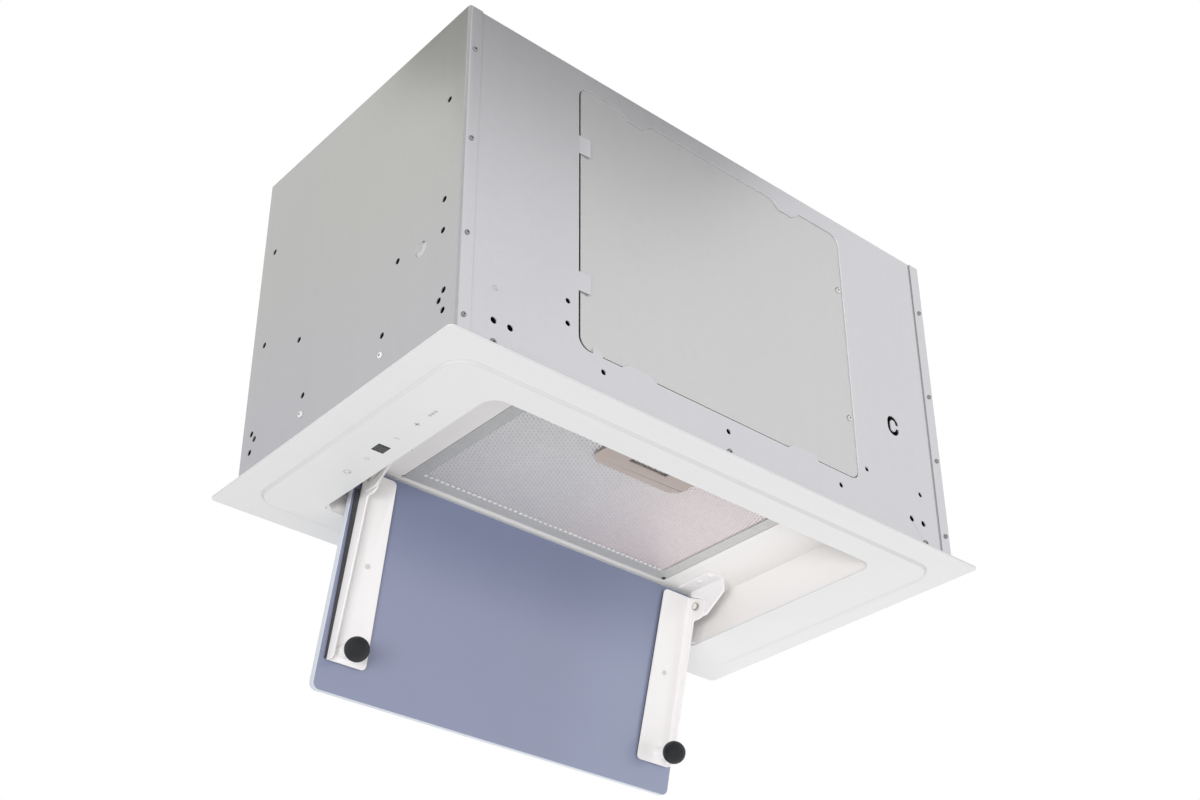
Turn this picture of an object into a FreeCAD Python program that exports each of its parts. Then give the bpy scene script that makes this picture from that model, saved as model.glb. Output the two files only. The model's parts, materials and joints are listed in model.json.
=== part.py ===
# Built-in range hood: a zinc-coated sheet metal box that hangs inside a wall cupboard, closed below by a
# white fascia whose recess holds the grease filter and a drop panel that swings down on two arms.
# Millimetres, +Z up, -Y is the front. The origin is the middle of the cupboard's cut-out, in the plane of
# the flange's upper face, which bears on the cupboard's floor. The drop panel is modelled hanging open.
import FreeCAD
import Part
import Sketcher
import math
import os
import re

from FreeCAD import Placement, Rotation, Vector

DIMENSIONS = {
    # fascia: flange, raised panel and opening
    "flange_width": 525,
    "flange_depth": 302,
    "flange_thick": 1.5,
    "flange_corner": 5,
    "raised_width": 476,
    "raised_depth": 252,
    "raised_drop": 2,
    "raised_slope": 1.8,
    "raised_corner": 18,
    "opening_width": 383,
    "opening_depth": 206,
    "opening_corner": 12,
    "opening_rear_corner": 3,
    "seat_step": 0.3,
    "upstand_height": 20,
    "upstand_thick": 1.2,
    "lug_height": 38,
    "lug_width": 26,
    # sheet metal box
    "body_width": 498,
    "body_depth": 273,
    "body_height": 294.8,
    "skin": 1,
    "bend_outer": 2.5,
    "bend_inner": 1.5,
    "lap_width": 12,
    "lip_height": 10,
    "fit_gap": 0.1,
    # screws on the two front laps, from the flange up
    "left_lap_first": 22,
    "left_lap_second": 89,
    "left_lap_third": 171,
    "left_lap_fourth": 254,
    "right_lap_first": 26.5,
    "right_lap_second": 96.5,
    "right_lap_third": 159,
    "right_lap_fourth": 245,
    "fascia_screw_x": 217.5,
    "fascia_screw_z": 12,
    "side_screw_y": 50.5,
    "side_screw_z": 31.5,
    "screw_head": 2.6,
    "screw_head_high": 1.2,
    "screw_shank": 1.5,
    "screw_length": 5,
    "lap_head": 1.9,
    "lap_shank": 1.2,
    # window of the service cover in the front panel
    "window_width": 287.5,
    "window_bottom": 41,
    "window_height": 238,
    "window_corner": 10,
    "cover_gap": 2.6,
    "cover_clear": 1.6,
    "cover_lap": 4,
    "cover_side_lap": 0.6,
    "tab_reach": 10.8,
    "tab_height": 16.6,
    "tab_low": 97.2,
    "tab_high": 221.8,
    "tab_corner": 2.2,
    "left_edge_tab": -87,
    "right_edge_tab": 80.4,
    "edge_tab_base": 34,
    "upper_tab_tip": 16,
    "upper_tab_reach": 7.3,
    "lower_tab_tip": 21,
    "lower_tab_reach": 4.6,
    "stop_tab_x": -126,
    "stop_tab_width": 9,
    "stop_tab_reach": 5,
    "cover_screw_x": 138.8,
    # holes in the front panel
    "front_hole": 2.6,
    "front_pin_hole": 2.2,
    "front_row": 29.5,
    "front_upper_row": 56,
    "front_outer_x": 217.5,
    "front_inner_x": 203.5,
    "front_mid_x": 121,
    "front_cover_x": 153.5,
    "front_extra_z": 75,
    "knockout_x": 192,
    "knockout_z": 111,
    "knockout_outer": 6.7,
    "knockout_inner": 3.1,
    "knockout_long": 4.5,
    "pip_x": -217.2,
    "pip_depth": 0.4,
    # holes in the side panels
    "side_hole": 2.4,
    "side_column_y": 117.5,
    "side_high": 217,
    "side_middle": 126.5,
    "side_front": 99.7,
    "side_inner_y": 64,
    "side_inner_z": 104,
    "side_corner_y": 121.8,
    "side_pair_y": 116.8,
    "side_corner_z": 47.5,
    "side_pair_z": 41.2,
    "side_low_z": 31.2,
    "side_near_z": 48,
    "dimple_y": -92,
    "dimple_z": 98.7,
    "dimple_radius": 9.5,
    "dimple_depth": 0.4,
    # recess tray and the filter's seat above it
    "recess_depth": 34.5,
    "recess_gap": 0.5,
    "tray_thick": 1.2,
    "tray_foot": 10,
    "tray_relief": 2,
    "seat_clear": 1.4,
    "seat_thick": 1.2,
    "seat_height": 10.3,
    "seat_ledge": 7.4,
    # grease filter and its latch
    "filter_width": 274,
    "filter_depth": 160,
    "filter_thick": 10,
    "filter_band": 11.5,
    "filter_sheet": 1,
    "filter_clear": 0.6,
    "lug_x": 60,
    "lug_wide": 16,
    "lug_reach": 3,
    "lug_thick": 2,
    "lug_play": 1,
    "latch_x": -3.5,
    "latch_width": 89,
    "latch_taper": 7,
    "latch_front": 78,
    "latch_rear": 36,
    "latch_thick": 1.5,
    "latch_corner": 6,
    "slot_width": 38,
    "slot_depth": 12,
    "slot_middle": 58.5,
    "tongue_width": 34,
    "tongue_thick": 2,
    "tongue_reach": 2.6,
    "tongue_play": 0.8,
    "slide_gap": 0.3,
    "pocket_play": 2,
    "grip_thick": 2,
    "latch_travel": 6,
    # drop panel, in its closed place before it is swung open about the pivots
    "pivot_y": 73.5,
    "pivot_z": 16.5,
    "open_angle": 103,
    "drop_width": 352,
    "drop_front": 162,
    "drop_rear": 13.2,
    "drop_thick": 5.5,
    "drop_depth": 20,
    "drop_corner": 6,
    # arms of the drop panel
    "pad_thick": 1.8,
    "pad_inset": 1,
    "pad_step": 6,
    "pad_show_high": 4,
    "pad_show_low": 1.2,
    "arm_inner_front": 135.8,
    "arm_inner_rear": 140.5,
    "arm_outer": 169.7,
    "arm_sheet": 1.5,
    "arm_front": 139,
    "arm_rear": 10,
    "arm_corner": 4,
    "ear_radius": 10.6,
    "ear_corner": 8,
    "ear_root": 1.7,
    "web_low": 4.5,
    "web_high": 1.5,
    "web_corner": 6,
    "rivet_x": 152,
    "rivet_front": 62,
    "rivet_radius": 2,
    "rivet_high": 0.8,
    # bumper balls on the arms
    "ball_x": 158,
    "ball_front": 130,
    "ball_rise": 8,
    "ball_radius": 9.5,
    "stem_radius": 5.5,
    "stem_sink": 8,
    # hinge brackets and pivots
    "bracket_gap": 0.3,
    "bracket_thick": 2.2,
    "bracket_front": 42,
    "bracket_rear": 81,
    "bracket_nose": 21.5,
    "bracket_corner": 0.8,
    "bracket_foot": 15,
    "bracket_foot_thick": 1.5,
    "bracket_radius": 9.5,
    "bracket_screw_x": 160,
    "bracket_screw_front": 46,
    "bracket_screw_rear": 60,
    "pin_radius": 2.5,
    "pin_clear": 0.05,
    "pin_head": 3.4,
    "pin_head_high": 1.6,
    # touch control and lamp
    "display_x": -209,
    "display_y": 2.5,
    "display_size": 10,
    "board_width": 25.5,
    "board_length": 130,
    "board_thick": 1.6,
    "lamp_length": 220,
    "lamp_depth": 14,
    "lamp_middle": 92,
    "lamp_high": 2.5,
    "lens_high": 1.5,
    "lens_inset": 2,
    # blower: scroll of three quarter arcs round a square, wheel, motor
    "fan_y": -12,
    "fan_z": 163.5,
    "scroll_half": 73,
    "scroll_first": 85,
    "scroll_step": 13,
    "scroll_start": 105,
    "scroll_sheet": 1,
    "inlet_radius": 60,
    "inlet_flange": 70,
    "inlet_depth": 7,
    "inlet_flare": 4,
    "eye_clear": 0.6,
    "wheel_half": 62,
    "wheel_radius": 74,
    "wheel_ring": 66,
    "wheel_disc": 1.5,
    "hub_radius": 12,
    "hub_length": 24,
    "blade_count": 32,
    "blade_sheet": 0.8,
    "blade_radius": 11,
    "blade_out": 66.5,
    "blade_side": 6,
    "blade_begin": -123.6,
    "blade_end": -50.8,
    "shaft_radius": 4,
    "shaft_clear": 0.05,
    "shaft_end": 2,
    "motor_start": 80,
    "motor_radius": 45,
    "motor_length": 66,
    "motor_nose": 6,
    "motor_edge": 5,
    "motor_boss": 15,
    "post_circle": 82,
    "post_radius": 4,
    "post_count": 3,
    "post_root": 4,
    "bracket_plate": 2,
    "capacitor_radius": 16,
    "capacitor_length": 55,
    "capacitor_y": 60,
    "capacitor_z": 105,
    # electric boxes
    "control_width": 90,
    "control_depth": 58,
    "control_height": 100,
    "control_x": -195,
    "control_z": 62,
    "terminal_width": 60,
    "terminal_depth": 34,
    "terminal_height": 50,
    "terminal_play": 1,
    # duct collar and its pair of flaps
    "outlet_y": 32.5,
    "collar_radius": 75,
    "collar_wall": 1.4,
    "collar_height": 60,
    "collar_flange": 88,
    "collar_base": 1.5,
    "collar_screw": 81.5,
    "stop_inner": 70.5,
    "stop_thick": 2,
    "flap_height": 14,
    "flap_gap": 0.3,
    "flap_thick": 1,
    "flap_radius": 72.6,
    "flap_split": 4.5,
    "knuckle_radius": 3,
    "knuckle_half": 66,
    "damper_pin": 1.5,
    "damper_clear": 0.06,
}

doc = FreeCAD.newDocument("range_hood")
sheet = doc.addObject("Spreadsheet::Sheet", "dims")
for row, (alias, number) in enumerate(DIMENSIONS.items(), start=1):
    sheet.set(f"A{row}", alias)
    sheet.set(f"B{row}", str(number))
    sheet.setAlias(f"B{row}", alias)
doc.recompute()

WORD = re.compile(r"[a-z][a-z_]*")
SIDES = (("left", -1), ("right", 1))
TOLERANCE = 1e-6
ARM_FLOOR = "(pivot_z - drop_depth + drop_thick + pad_thick + arm_sheet)"
TURNS = {
    "x": Rotation(Vector(0, 1, 0), 90),
    "y": Rotation(Vector(1, 0, 0), -90),
    "z": Rotation(),
}
nodes = []


# Helpers: sheet, placement and node list

def bound(text):
    """An expression in which each named dimension points at its cell."""
    return WORD.sub(lambda m: f"dims.{m[0]}" if m[0] in DIMENSIONS else m[0], str(text))


def mm(alias):
    return float(sheet.get(alias))


def bind(item, **sizes):
    for name, text in sizes.items():
        item.setExpression(name, bound(text))
    return item


def place(item, x="0", y="0", z="0", axis=None):
    if axis:
        item.Placement = Placement(Vector(), TURNS[axis])
    for letter, text in (("x", x), ("y", y), ("z", z)):
        item.setExpression(f"Placement.Base.{letter}", bound(text))
    return item


def node(item, label):
    item.Label = label
    nodes.append(item)
    return item


# Helpers: solids

def box(name, width, depth, height, x, y, z):
    """A block from its left, front, lower corner."""
    item = doc.addObject("Part::Box", name)
    bind(item, Length=width, Width=depth, Height=height)
    return place(item, x, y, z)


def slab(name, width, depth, height, z, x="0", y="0"):
    """A block centred on x and y that stands on z."""
    return box(name, width, depth, height, f"{x} - ({width}) / 2", f"{y} - ({depth}) / 2", z)


def rod(name, radius, length, x, y, z, axis="z"):
    item = doc.addObject("Part::Cylinder", name)
    bind(item, Radius=radius, Height=length)
    return place(item, x, y, z, axis)


def fuse(name, *solids):
    item = doc.addObject("Part::MultiFuse", name)
    item.Shapes = list(solids)
    item.Refine = True
    return item


def group(name, solids):
    item = doc.addObject("Part::Compound", name)
    item.Links = list(solids)
    return item


def cut(name, base, *tools):
    item = doc.addObject("Part::Cut", name)
    item.Base = base
    item.Tool = tools[0] if len(tools) == 1 else group(f"{name}_tools", tools)
    item.Refine = True
    return item


def along(axis, side=None, sign=1, limit=0):
    """A test for straight edges that run along one axis, or only for those past a limit on one side."""
    def test(edge):
        run = edge.Vertexes[-1].Point - edge.Vertexes[0].Point
        straight = run.Length > 0 and abs(abs(getattr(run, axis)) - run.Length) < TOLERANCE
        return straight and (side is None or sign * getattr(edge.CenterOfMass, side) > limit)
    return test


def rounded(name, base, radius, test):
    doc.recompute()
    item = doc.addObject("Part::Fillet", name)
    item.Base = base
    picked = [i for i, edge in enumerate(base.Shape.Edges, start=1) if test(edge)]
    item.Edges = [(i, mm(radius), mm(radius)) for i in picked]
    return item


def rounded_slab(name, width, depth, height, z, radius):
    return rounded(name, slab(f"{name}_block", width, depth, height, z), radius, along("z"))


# Helpers: sketched bodies

def sketch_on(body, role, offset=0):
    item = body.newObject("Sketcher::SketchObject", f"{body.Name}_sketch")
    plane = next(f for f in body.Origin.OriginFeatures if f.Role == role)
    item.AttachmentSupport = [(plane, "")]
    item.MapMode = "FlatFace"
    item.AttachmentOffset = Placement(Vector(0, 0, offset), Rotation())
    return item


def chain(sketch, curves, joint="Coincident"):
    """Closed outline of lines and arcs, each end held to the next curve's nearest free end."""
    first = len(sketch.Geometry)
    for curve in curves:
        sketch.addGeometry(curve, False)
    count = len(curves)
    free = {first + k: {1, 2} for k in range(count)}
    for k in range(count):
        here, there = first + k, first + (k + 1) % count
        ends = [(a, b) for a in free[here] for b in free[there]]
        gap = {e: (sketch.getPoint(here, e[0]) - sketch.getPoint(there, e[1])).Length for e in ends}
        near = min(ends, key=gap.get)
        free[here].discard(near[0])
        free[there].discard(near[1])
        sketch.addConstraint(Sketcher.Constraint(joint, here, near[0], there, near[1]))


def corner_curves(corners):
    """Lines and arcs of a polygon given as (x, y, corner radius)."""
    starts, ends, arcs = [], [], []
    count = len(corners)
    for k, (x, y, radius) in enumerate(corners):
        point = Vector(x, y, 0)
        back = (Vector(*corners[k - 1][:2], 0) - point).normalize()
        ahead = (Vector(*corners[(k + 1) % count][:2], 0) - point).normalize()
        half = back.getAngle(ahead) / 2
        reach = radius / math.tan(half)
        ends.append(point + back * reach)
        starts.append(point + ahead * reach)
        middle = (back + ahead).normalize() * (radius / math.sin(half) - radius)
        arcs.append(Part.Arc(ends[k], point + middle, starts[k]) if radius else None)
    curves = []
    for k in range(count):
        if arcs[k]:
            curves.append(arcs[k])
        curves.append(Part.LineSegment(starts[k], ends[(k + 1) % count]))
    return curves


def rounded_rectangle(sketch, width, depth, radius):
    """A rectangle centred on the sketch's origin, its sizes bound to the sheet."""
    w, d, r = mm_of(width), mm_of(depth), mm_of(radius)
    x, y = w / 2, d / 2
    chain(sketch, corner_curves([(-x, -y, r), (x, -y, r), (x, y, r), (-x, y, r)]), "Tangent")
    arcs = [i for i, g in enumerate(sketch.Geometry) if isinstance(g, Part.ArcOfCircle)]
    front, right, rear, left = [i for i in range(len(sketch.Geometry)) if i not in arcs]
    for line, kind in ((front, "Horizontal"), (right, "Vertical"), (rear, "Horizontal"), (left, "Vertical")):
        sketch.addConstraint(Sketcher.Constraint(kind, line))
    for arc in arcs[1:]:
        sketch.addConstraint(Sketcher.Constraint("Equal", arcs[0], arc))
    sketch.addConstraint(Sketcher.Constraint("Symmetric", front, 1, rear, 1, -1, 1))
    sizes = (
        (Sketcher.Constraint("Radius", arcs[0], r), radius),
        (Sketcher.Constraint("DistanceX", left, 1, right, 1, w), width),
        (Sketcher.Constraint("DistanceY", front, 1, rear, 1, d), depth),
    )
    for constraint, text in sizes:
        index = sketch.addConstraint(constraint)
        sketch.setExpression(f"Constraints[{index}]", bound(text))


def mm_of(text):
    """A dimension's number, or a sum of dimensions joined by plus signs."""
    return sum(mm(word.strip()) for word in text.split("+"))


def feature(body, kind, profile, **sizes):
    item = body.newObject(f"PartDesign::{kind}", f"{body.Name}_{kind}")
    item.Profile = profile
    bind(item, **sizes)
    body.Tip = item
    return item


def padded(label, role, offset, curves, length):
    """A body padded from one closed outline on an origin plane."""
    body = doc.addObject("PartDesign::Body", label)
    profile = sketch_on(body, role, offset)
    chain(profile, curves)
    feature(body, "Pad", profile, Length=length)
    return body


def turned(label, corners):
    """A body turned about its own Z axis from corners given as (radius, height, corner radius)."""
    body = doc.addObject("PartDesign::Body", label)
    profile = sketch_on(body, "XZ_Plane")
    chain(profile, corner_curves(corners))
    item = feature(body, "Revolution", profile)
    item.ReferenceAxis = (profile, ["V_Axis"])
    item.Angle = 360
    return body


# Fasteners: a low round head on a short shank, the head on the outer side

def screw(name, x, y, z, axis, outward, size="screw"):
    """The head's seat is at x, y, z; outward is +1 or -1 along the axis."""
    head_from = "0" if outward > 0 else "-screw_head_high"
    shank_from = "-screw_length" if outward > 0 else "0"
    spots = {"x": x, "y": y, "z": z}
    head_at = dict(spots, **{axis: f"{spots[axis]} + ({head_from})"})
    shank_at = dict(spots, **{axis: f"{spots[axis]} + ({shank_from})"})
    head = rod(f"{name}_head", f"{size}_head", "screw_head_high", axis=axis, **head_at)
    shank = rod(f"{name}_shank", f"{size}_shank", "screw_length", axis=axis, **shank_at)
    return fuse(name, head, shank)


def drill(name, radius, x, y, z, axis, length="screw_length"):
    """A hole tool centred on x, y, z along its axis."""
    spots = {"x": x, "y": y, "z": z}
    spots[axis] = f"{spots[axis]} - ({length}) / 2"
    return rod(name, radius, length, axis=axis, **spots)


def front_lap_spots():
    for side, sign in SIDES:
        for order in ("first", "second", "third", "fourth"):
            yield f"{side}_{order}", f"{sign} * (body_width - lap_width) / 2", f"{side}_lap_{order}"


def fascia_spots():
    """Screws through the front and rear panels into the fascia's upstand."""
    for side, sign in (("front", -1), ("rear", 1)):
        for k in (-1, 0, 1):
            yield f"{side}_{k + 1}", sign, f"{k} * fascia_screw_x"


def side_spots():
    for side, sign in SIDES:
        for end, k in (("front", -1), ("rear", 1)):
            yield f"{side}_{end}", sign, f"{k} * side_screw_y"


# Fascia and recess

def fascia_frame():
    body = doc.addObject("PartDesign::Body", "fascia_sheet")
    low = -mm("flange_thick") - mm("raised_drop")
    rim = sketch_on(body, "XY_Plane", -mm("flange_thick"))
    rounded_rectangle(rim, "flange_width", "flange_depth", "flange_corner")
    feature(body, "Pad", rim, Length="flange_thick")
    for kind, lift in (("AdditiveLoft", 0), ("SubtractiveLoft", mm("flange_thick"))):
        top = sketch_on(body, "XY_Plane", low + mm("raised_drop") + lift)
        rounded_rectangle(
            top,
            "raised_width + raised_slope + raised_slope",
            "raised_depth + raised_slope + raised_slope",
            "raised_corner + raised_slope",
        )
        foot = sketch_on(body, "XY_Plane", low + lift)
        rounded_rectangle(foot, "raised_width", "raised_depth", "raised_corner")
        loft = feature(body, kind, top)
        loft.Sections = [foot]
        loft.Ruled = True
    block = slab("mouth_block", "opening_width", "opening_depth", "4 * flange_thick", "-4 * flange_thick")
    front_round = rounded("mouth_front", block, "opening_corner", along("z", "y", -1))
    mouth = rounded("mouth", front_round, "opening_rear_corner", along("z", "y", 1))
    ring_width = "(body_width - 2 * skin - 2 * fit_gap)"
    ring_depth = "(body_depth - 4 * skin - 2 * fit_gap)"
    rebate = box("seat_rebate", "body_width + 2 * seat_step", "body_depth + skin + 2 * seat_step",
                 "flange_thick", "-body_width / 2 - seat_step", "-body_depth / 2 - skin - seat_step",
                 "-seat_step")
    outer = slab("upstand_outer", ring_width, ring_depth, "upstand_height + seat_step", "-seat_step")
    inner = slab("upstand_inner", f"{ring_width} - 2 * upstand_thick", f"{ring_depth} - 2 * upstand_thick",
                 "upstand_height + seat_step", "-seat_step")
    lugs = []
    for name, sign, y in side_spots():
        lug_x = f"{sign} * ({ring_width} - upstand_thick) / 2"
        lugs.append(slab(f"lug_{name}", "upstand_thick", "lug_width", "lug_height + seat_step", "-seat_step",
                         lug_x, y))
    display = slab(
        "display_hole", "display_size", "display_size", "4 * flange_thick", "-4 * flange_thick",
        "display_x", "display_y",
    )
    seated = cut("fascia_seated", body, rebate)
    sheet_metal = fuse("fascia_joined", seated, cut("upstand", outer, inner), *lugs)
    holes = []
    for name, sign, x in fascia_spots():
        holes.append(drill(f"fascia_hole_{name}", "screw_shank", x, f"{sign} * body_depth / 2",
                           "fascia_screw_z", "y", "4 * screw_length"))
    for name, sign, y in side_spots():
        holes.append(drill(f"lug_hole_{name}", "screw_shank", f"{sign} * body_width / 2", y,
                           "side_screw_z", "x", "2 * screw_length"))
    node(cut("fascia_cut", sheet_metal, mouth, display, *holes), "fascia_frame")


def recess_tray():
    wide = "(opening_width + 2 * recess_gap)"
    deep = "(opening_depth + 2 * recess_gap)"
    foot_z = "-flange_thick - raised_drop + flange_thick"
    high = "(recess_depth + raised_drop)"
    shell = rounded_slab("tray_shell", f"{wide} + 2 * skin", f"{deep} + 2 * skin", f"{high} + tray_thick",
                         foot_z, "opening_corner")
    hollow = rounded_slab("tray_hollow", wide, deep, high, foot_z, "opening_corner")
    foot = rounded_slab("tray_foot_plate", f"{wide} + 2 * tray_foot", f"{deep} + 2 * tray_foot", "skin",
                        foot_z, "raised_corner")
    filter_hole = slab("filter_hole", "filter_width + 2 * filter_clear", "filter_depth + 2 * filter_clear",
                       "4 * tray_thick", "recess_depth - tray_thick")
    holes = []
    for side, sign in SIDES:
        for end in ("front", "rear"):
            holes.append(drill(f"tray_hole_{side}_{end}", "screw_shank", f"{sign} * bracket_screw_x",
                               f"bracket_screw_{end}", "recess_depth", "z"))
        for end, k in (("front", -1), ("rear", 1)):
            holes.append(drill(f"tray_relief_{side}_{end}", "tray_relief", f"{sign} * filter_width / 2",
                               f"{k} * filter_depth / 2", "recess_depth", "z"))
    node(cut("tray_cut", fuse("tray_joined", shell, foot), hollow, filter_hole, *holes), "recess_tray")


def filter_seat():
    wide = "(filter_width + 2 * seat_clear)"
    deep = "(filter_depth + 2 * seat_clear)"
    floor = "recess_depth + tray_thick"
    outer = slab("seat_outer", f"{wide} + 2 * seat_thick", f"{deep} + 2 * seat_thick", "seat_height", floor)
    inner = slab("seat_inner", wide, deep, "seat_height - seat_thick", floor)
    light = slab("seat_light", f"{wide} - 2 * seat_ledge", f"{deep} - 2 * seat_ledge", "2 * seat_height",
                 floor)
    keeper = slab("seat_keeper", "tongue_width + 2 * lug_play", "4 * seat_thick", "tongue_thick + lug_play",
                  floor, "latch_x", "-filter_depth / 2 - seat_clear")
    slots = []
    for side, sign in SIDES:
        slots.append(slab(f"seat_slot_{side}", "lug_wide + 2 * lug_play", "4 * seat_thick",
                          "lug_thick + lug_play", "recess_depth + filter_thick / 2", f"{sign} * lug_x",
                          "filter_depth / 2 + seat_clear"))
    node(cut("seat_cut", outer, inner, light, keeper, *slots), "filter_seat")


# Sheet metal box

def side_panel(side, sign):
    """Channel bent from one sheet: a web with a lap turned in at the front and the rear."""
    outer = f"{sign} * body_width / 2"
    lap_x = f"{outer} - (lap_width + {sign} * lap_width) / 2"
    front = "-body_depth / 2 - skin"
    foot, high = "-seat_step", "body_height + seat_step"
    at_web = along("z", "x", sign, (mm("body_width") - mm("lap_width")) / 2)
    blank = box(f"{side}_blank", "lap_width", "body_depth + skin", high, lap_x, front, foot)
    hollow = box(f"{side}_hollow", "lap_width", "body_depth - skin", high, f"{lap_x} - {sign} * skin",
                 f"{front} + skin", foot)
    shell = cut(f"{side}_shell", rounded(f"{side}_bent", blank, "bend_outer", at_web),
                rounded(f"{side}_bent_in", hollow, "bend_inner", at_web))
    holes = []

    def hole(name, y, z, radius="side_hole"):
        holes.append(drill(f"{side}_hole_{name}", radius, outer, y, z, "x"))

    for end, k in (("front", -1), ("rear", 1)):
        hole(f"high_{end}", f"{k} * side_column_y", "side_high")
        hole(f"middle_{end}", f"{k} * side_column_y", "side_middle")
        hole(f"inner_{end}", f"{k} * side_inner_y", "side_inner_z")
        hole(f"corner_{end}", f"{k} * side_corner_y", "side_corner_z")
        hole(f"pair_{end}", f"{k} * side_pair_y", "side_pair_z")
        hole(f"low_{end}", f"{k} * side_corner_y", "side_low_z")
        hole(f"near_{end}", f"{k} * side_screw_y", "side_near_z")
        hole(f"screw_{end}", f"{k} * side_screw_y", "side_screw_z", "screw_shank")
    hole("front", "-side_column_y", "side_front")
    for name, x, z in front_lap_spots():
        if name.startswith(side):
            for end, y in (("front", "-body_depth / 2"), ("rear", "body_depth / 2")):
                holes.append(drill(f"{name}_{end}_lap_hole", "lap_shank", x, y, z, "y"))
    dimple = drill(f"{side}_dimple", "dimple_radius", outer, "dimple_y", "dimple_z", "x", "2 * dimple_depth")
    node(cut(f"{side}_side_cut", shell, dimple, *holes), f"{side}_side_panel")


def window_tabs():
    """Tabs of the front panel that lie over the cover's left, upper and lower edges."""
    left = "-window_width / 2"
    tabs = []
    for level in ("low", "high"):
        tabs.append(box(f"left_tab_{level}", "tab_reach", "skin", "tab_height", left, "-body_depth / 2",
                        f"tab_{level} - tab_height / 2"))
    tabs.append(slab("stop_tab", "stop_tab_width", "skin", "stop_tab_reach", "window_bottom", "stop_tab_x",
                     "-body_depth / 2 + skin / 2"))
    base, soft = mm("edge_tab_base") / 2, mm("tab_corner")
    bottom = mm("window_bottom")
    for edge, z, way in (("upper", bottom + mm("window_height"), -1), ("lower", bottom, 1)):
        tip, end = mm(f"{edge}_tab_tip") / 2, z + way * mm(f"{edge}_tab_reach")
        for side, sign in SIDES:
            x = mm(f"{side}_edge_tab")
            corners = [(x - base, z, 0), (x - tip, end, soft), (x + tip, end, soft), (x + base, z, 0)]
            tab = padded(f"{edge}_tab_{side}", "XZ_Plane", 0, corner_curves(corners), "skin")
            place(tab, y="-body_depth / 2 + skin")
            tabs.append(tab)
    return tabs


def front_holes():
    spots = []
    for sign in (-1, 1):
        spots.append((f"{sign} * front_outer_x", "front_row", "front_hole"))
        spots.append((f"{sign} * front_inner_x", "front_row", "front_hole"))
        spots.append((f"{sign} * front_mid_x", "front_row", "front_pin_hole"))
        spots.append((f"{sign} * front_cover_x", "front_upper_row", "front_pin_hole"))
    spots.append(("0", "front_row", "front_pin_hole"))
    spots.append(("front_outer_x", "front_upper_row", "front_pin_hole"))
    spots.append(("-front_cover_x", "front_extra_z", "front_pin_hole"))
    return [drill(f"front_hole_{k}", radius, x, "-body_depth / 2", z, "y")
            for k, (x, z, radius) in enumerate(spots)]


def knockout():
    """A long ring slot with one bridge left standing, to be broken out for the mains lead."""
    face = "-body_depth / 2"
    rings = []
    for name in ("outer", "inner"):
        radius = f"knockout_{name}"
        ends = []
        for end, k in (("low", -1), ("high", 1)):
            ends.append(drill(f"{radius}_{end}", radius, "knockout_x", face,
                              f"knockout_z + {k} * knockout_long / 2", "y"))
        waist = slab(f"{radius}_waist", f"2 * {radius}", "screw_length", "knockout_long",
                     "knockout_z - knockout_long / 2", "knockout_x", face)
        rings.append(fuse(f"{radius}_ring", waist, *ends))
    bridge = box("knockout_bridge", "knockout_outer", "2 * screw_length", "knockout_inner", "knockout_x",
                 f"{face} - screw_length", "knockout_z - knockout_inner / 2")
    return cut("knockout_slot", *rings, bridge)


def front_panel():
    width = "(body_width - 2 * skin - 2 * bend_inner)"
    plate = box("front_plate", width, "skin", "body_height + seat_step", f"-{width} / 2", "-body_depth / 2",
                "-seat_step")
    window_block = slab("window_block", "window_width", "4 * skin", "window_height", "window_bottom", "0",
                        "-body_depth / 2")
    window = rounded("window", window_block, "window_corner", along("y"))
    screw_strip = box("screw_strip", "2 * tab_reach", "skin", "window_height + 2 * tab_reach",
                      "window_width / 2 - tab_reach", "-body_depth / 2 + 2 * skin",
                      "window_bottom - tab_reach")
    strip_root = box("strip_root", "tab_reach - skin", "skin", "window_height", "window_width / 2 + skin",
                     "-body_depth / 2 + skin", "window_bottom")
    pip = drill("pip", "front_pin_hole", "pip_x", "-body_depth / 2", "front_upper_row", "y", "2 * pip_depth")
    holes = front_holes() + [knockout(), pip]
    for name, x, z in front_lap_spots():
        holes.append(drill(f"{name}_front_hole", "lap_shank", x, "-body_depth / 2", z, "y"))
    for name, sign, x in fascia_spots():
        holes.append(drill(f"front_fascia_{name}", "screw_shank", x, "-body_depth / 2", "fascia_screw_z",
                           "y"))
    for level in ("low", "high"):
        holes.append(drill(f"strip_hole_{level}", "screw_shank", "cover_screw_x",
                           "-body_depth / 2 + 2 * skin", f"tab_{level}", "y", "2 * screw_length"))
    framed = fuse("front_framed", cut("front_open", plate, window), *window_tabs(), screw_strip, strip_root)
    node(cut("front_cut", framed, *holes), "front_panel")


def service_cover():
    """Plate behind the window, with a gap at the left and below, tucked in above and at the right."""
    width = "(window_width - cover_gap + cover_side_lap)"
    height = "(window_height - cover_clear + cover_lap)"
    behind = "-body_depth / 2 + skin"
    block = box("cover_block", width, "skin", height, "-window_width / 2 + cover_gap", behind,
                "window_bottom + cover_clear")
    holes, screws = [], []
    for level in ("low", "high"):
        spot = ("cover_screw_x", behind, f"tab_{level}")
        holes.append(drill(f"cover_hole_{level}", "screw_shank", *spot, "y"))
        screws.append(screw(f"cover_screw_{level}", *spot, "y", -1))
    plate = rounded("cover_plate", block, "window_corner", along("y"))
    node(cut("cover_cut", plate, *holes), "service_cover")
    node(group("cover_screws", screws), "service_cover_screws")


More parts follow.
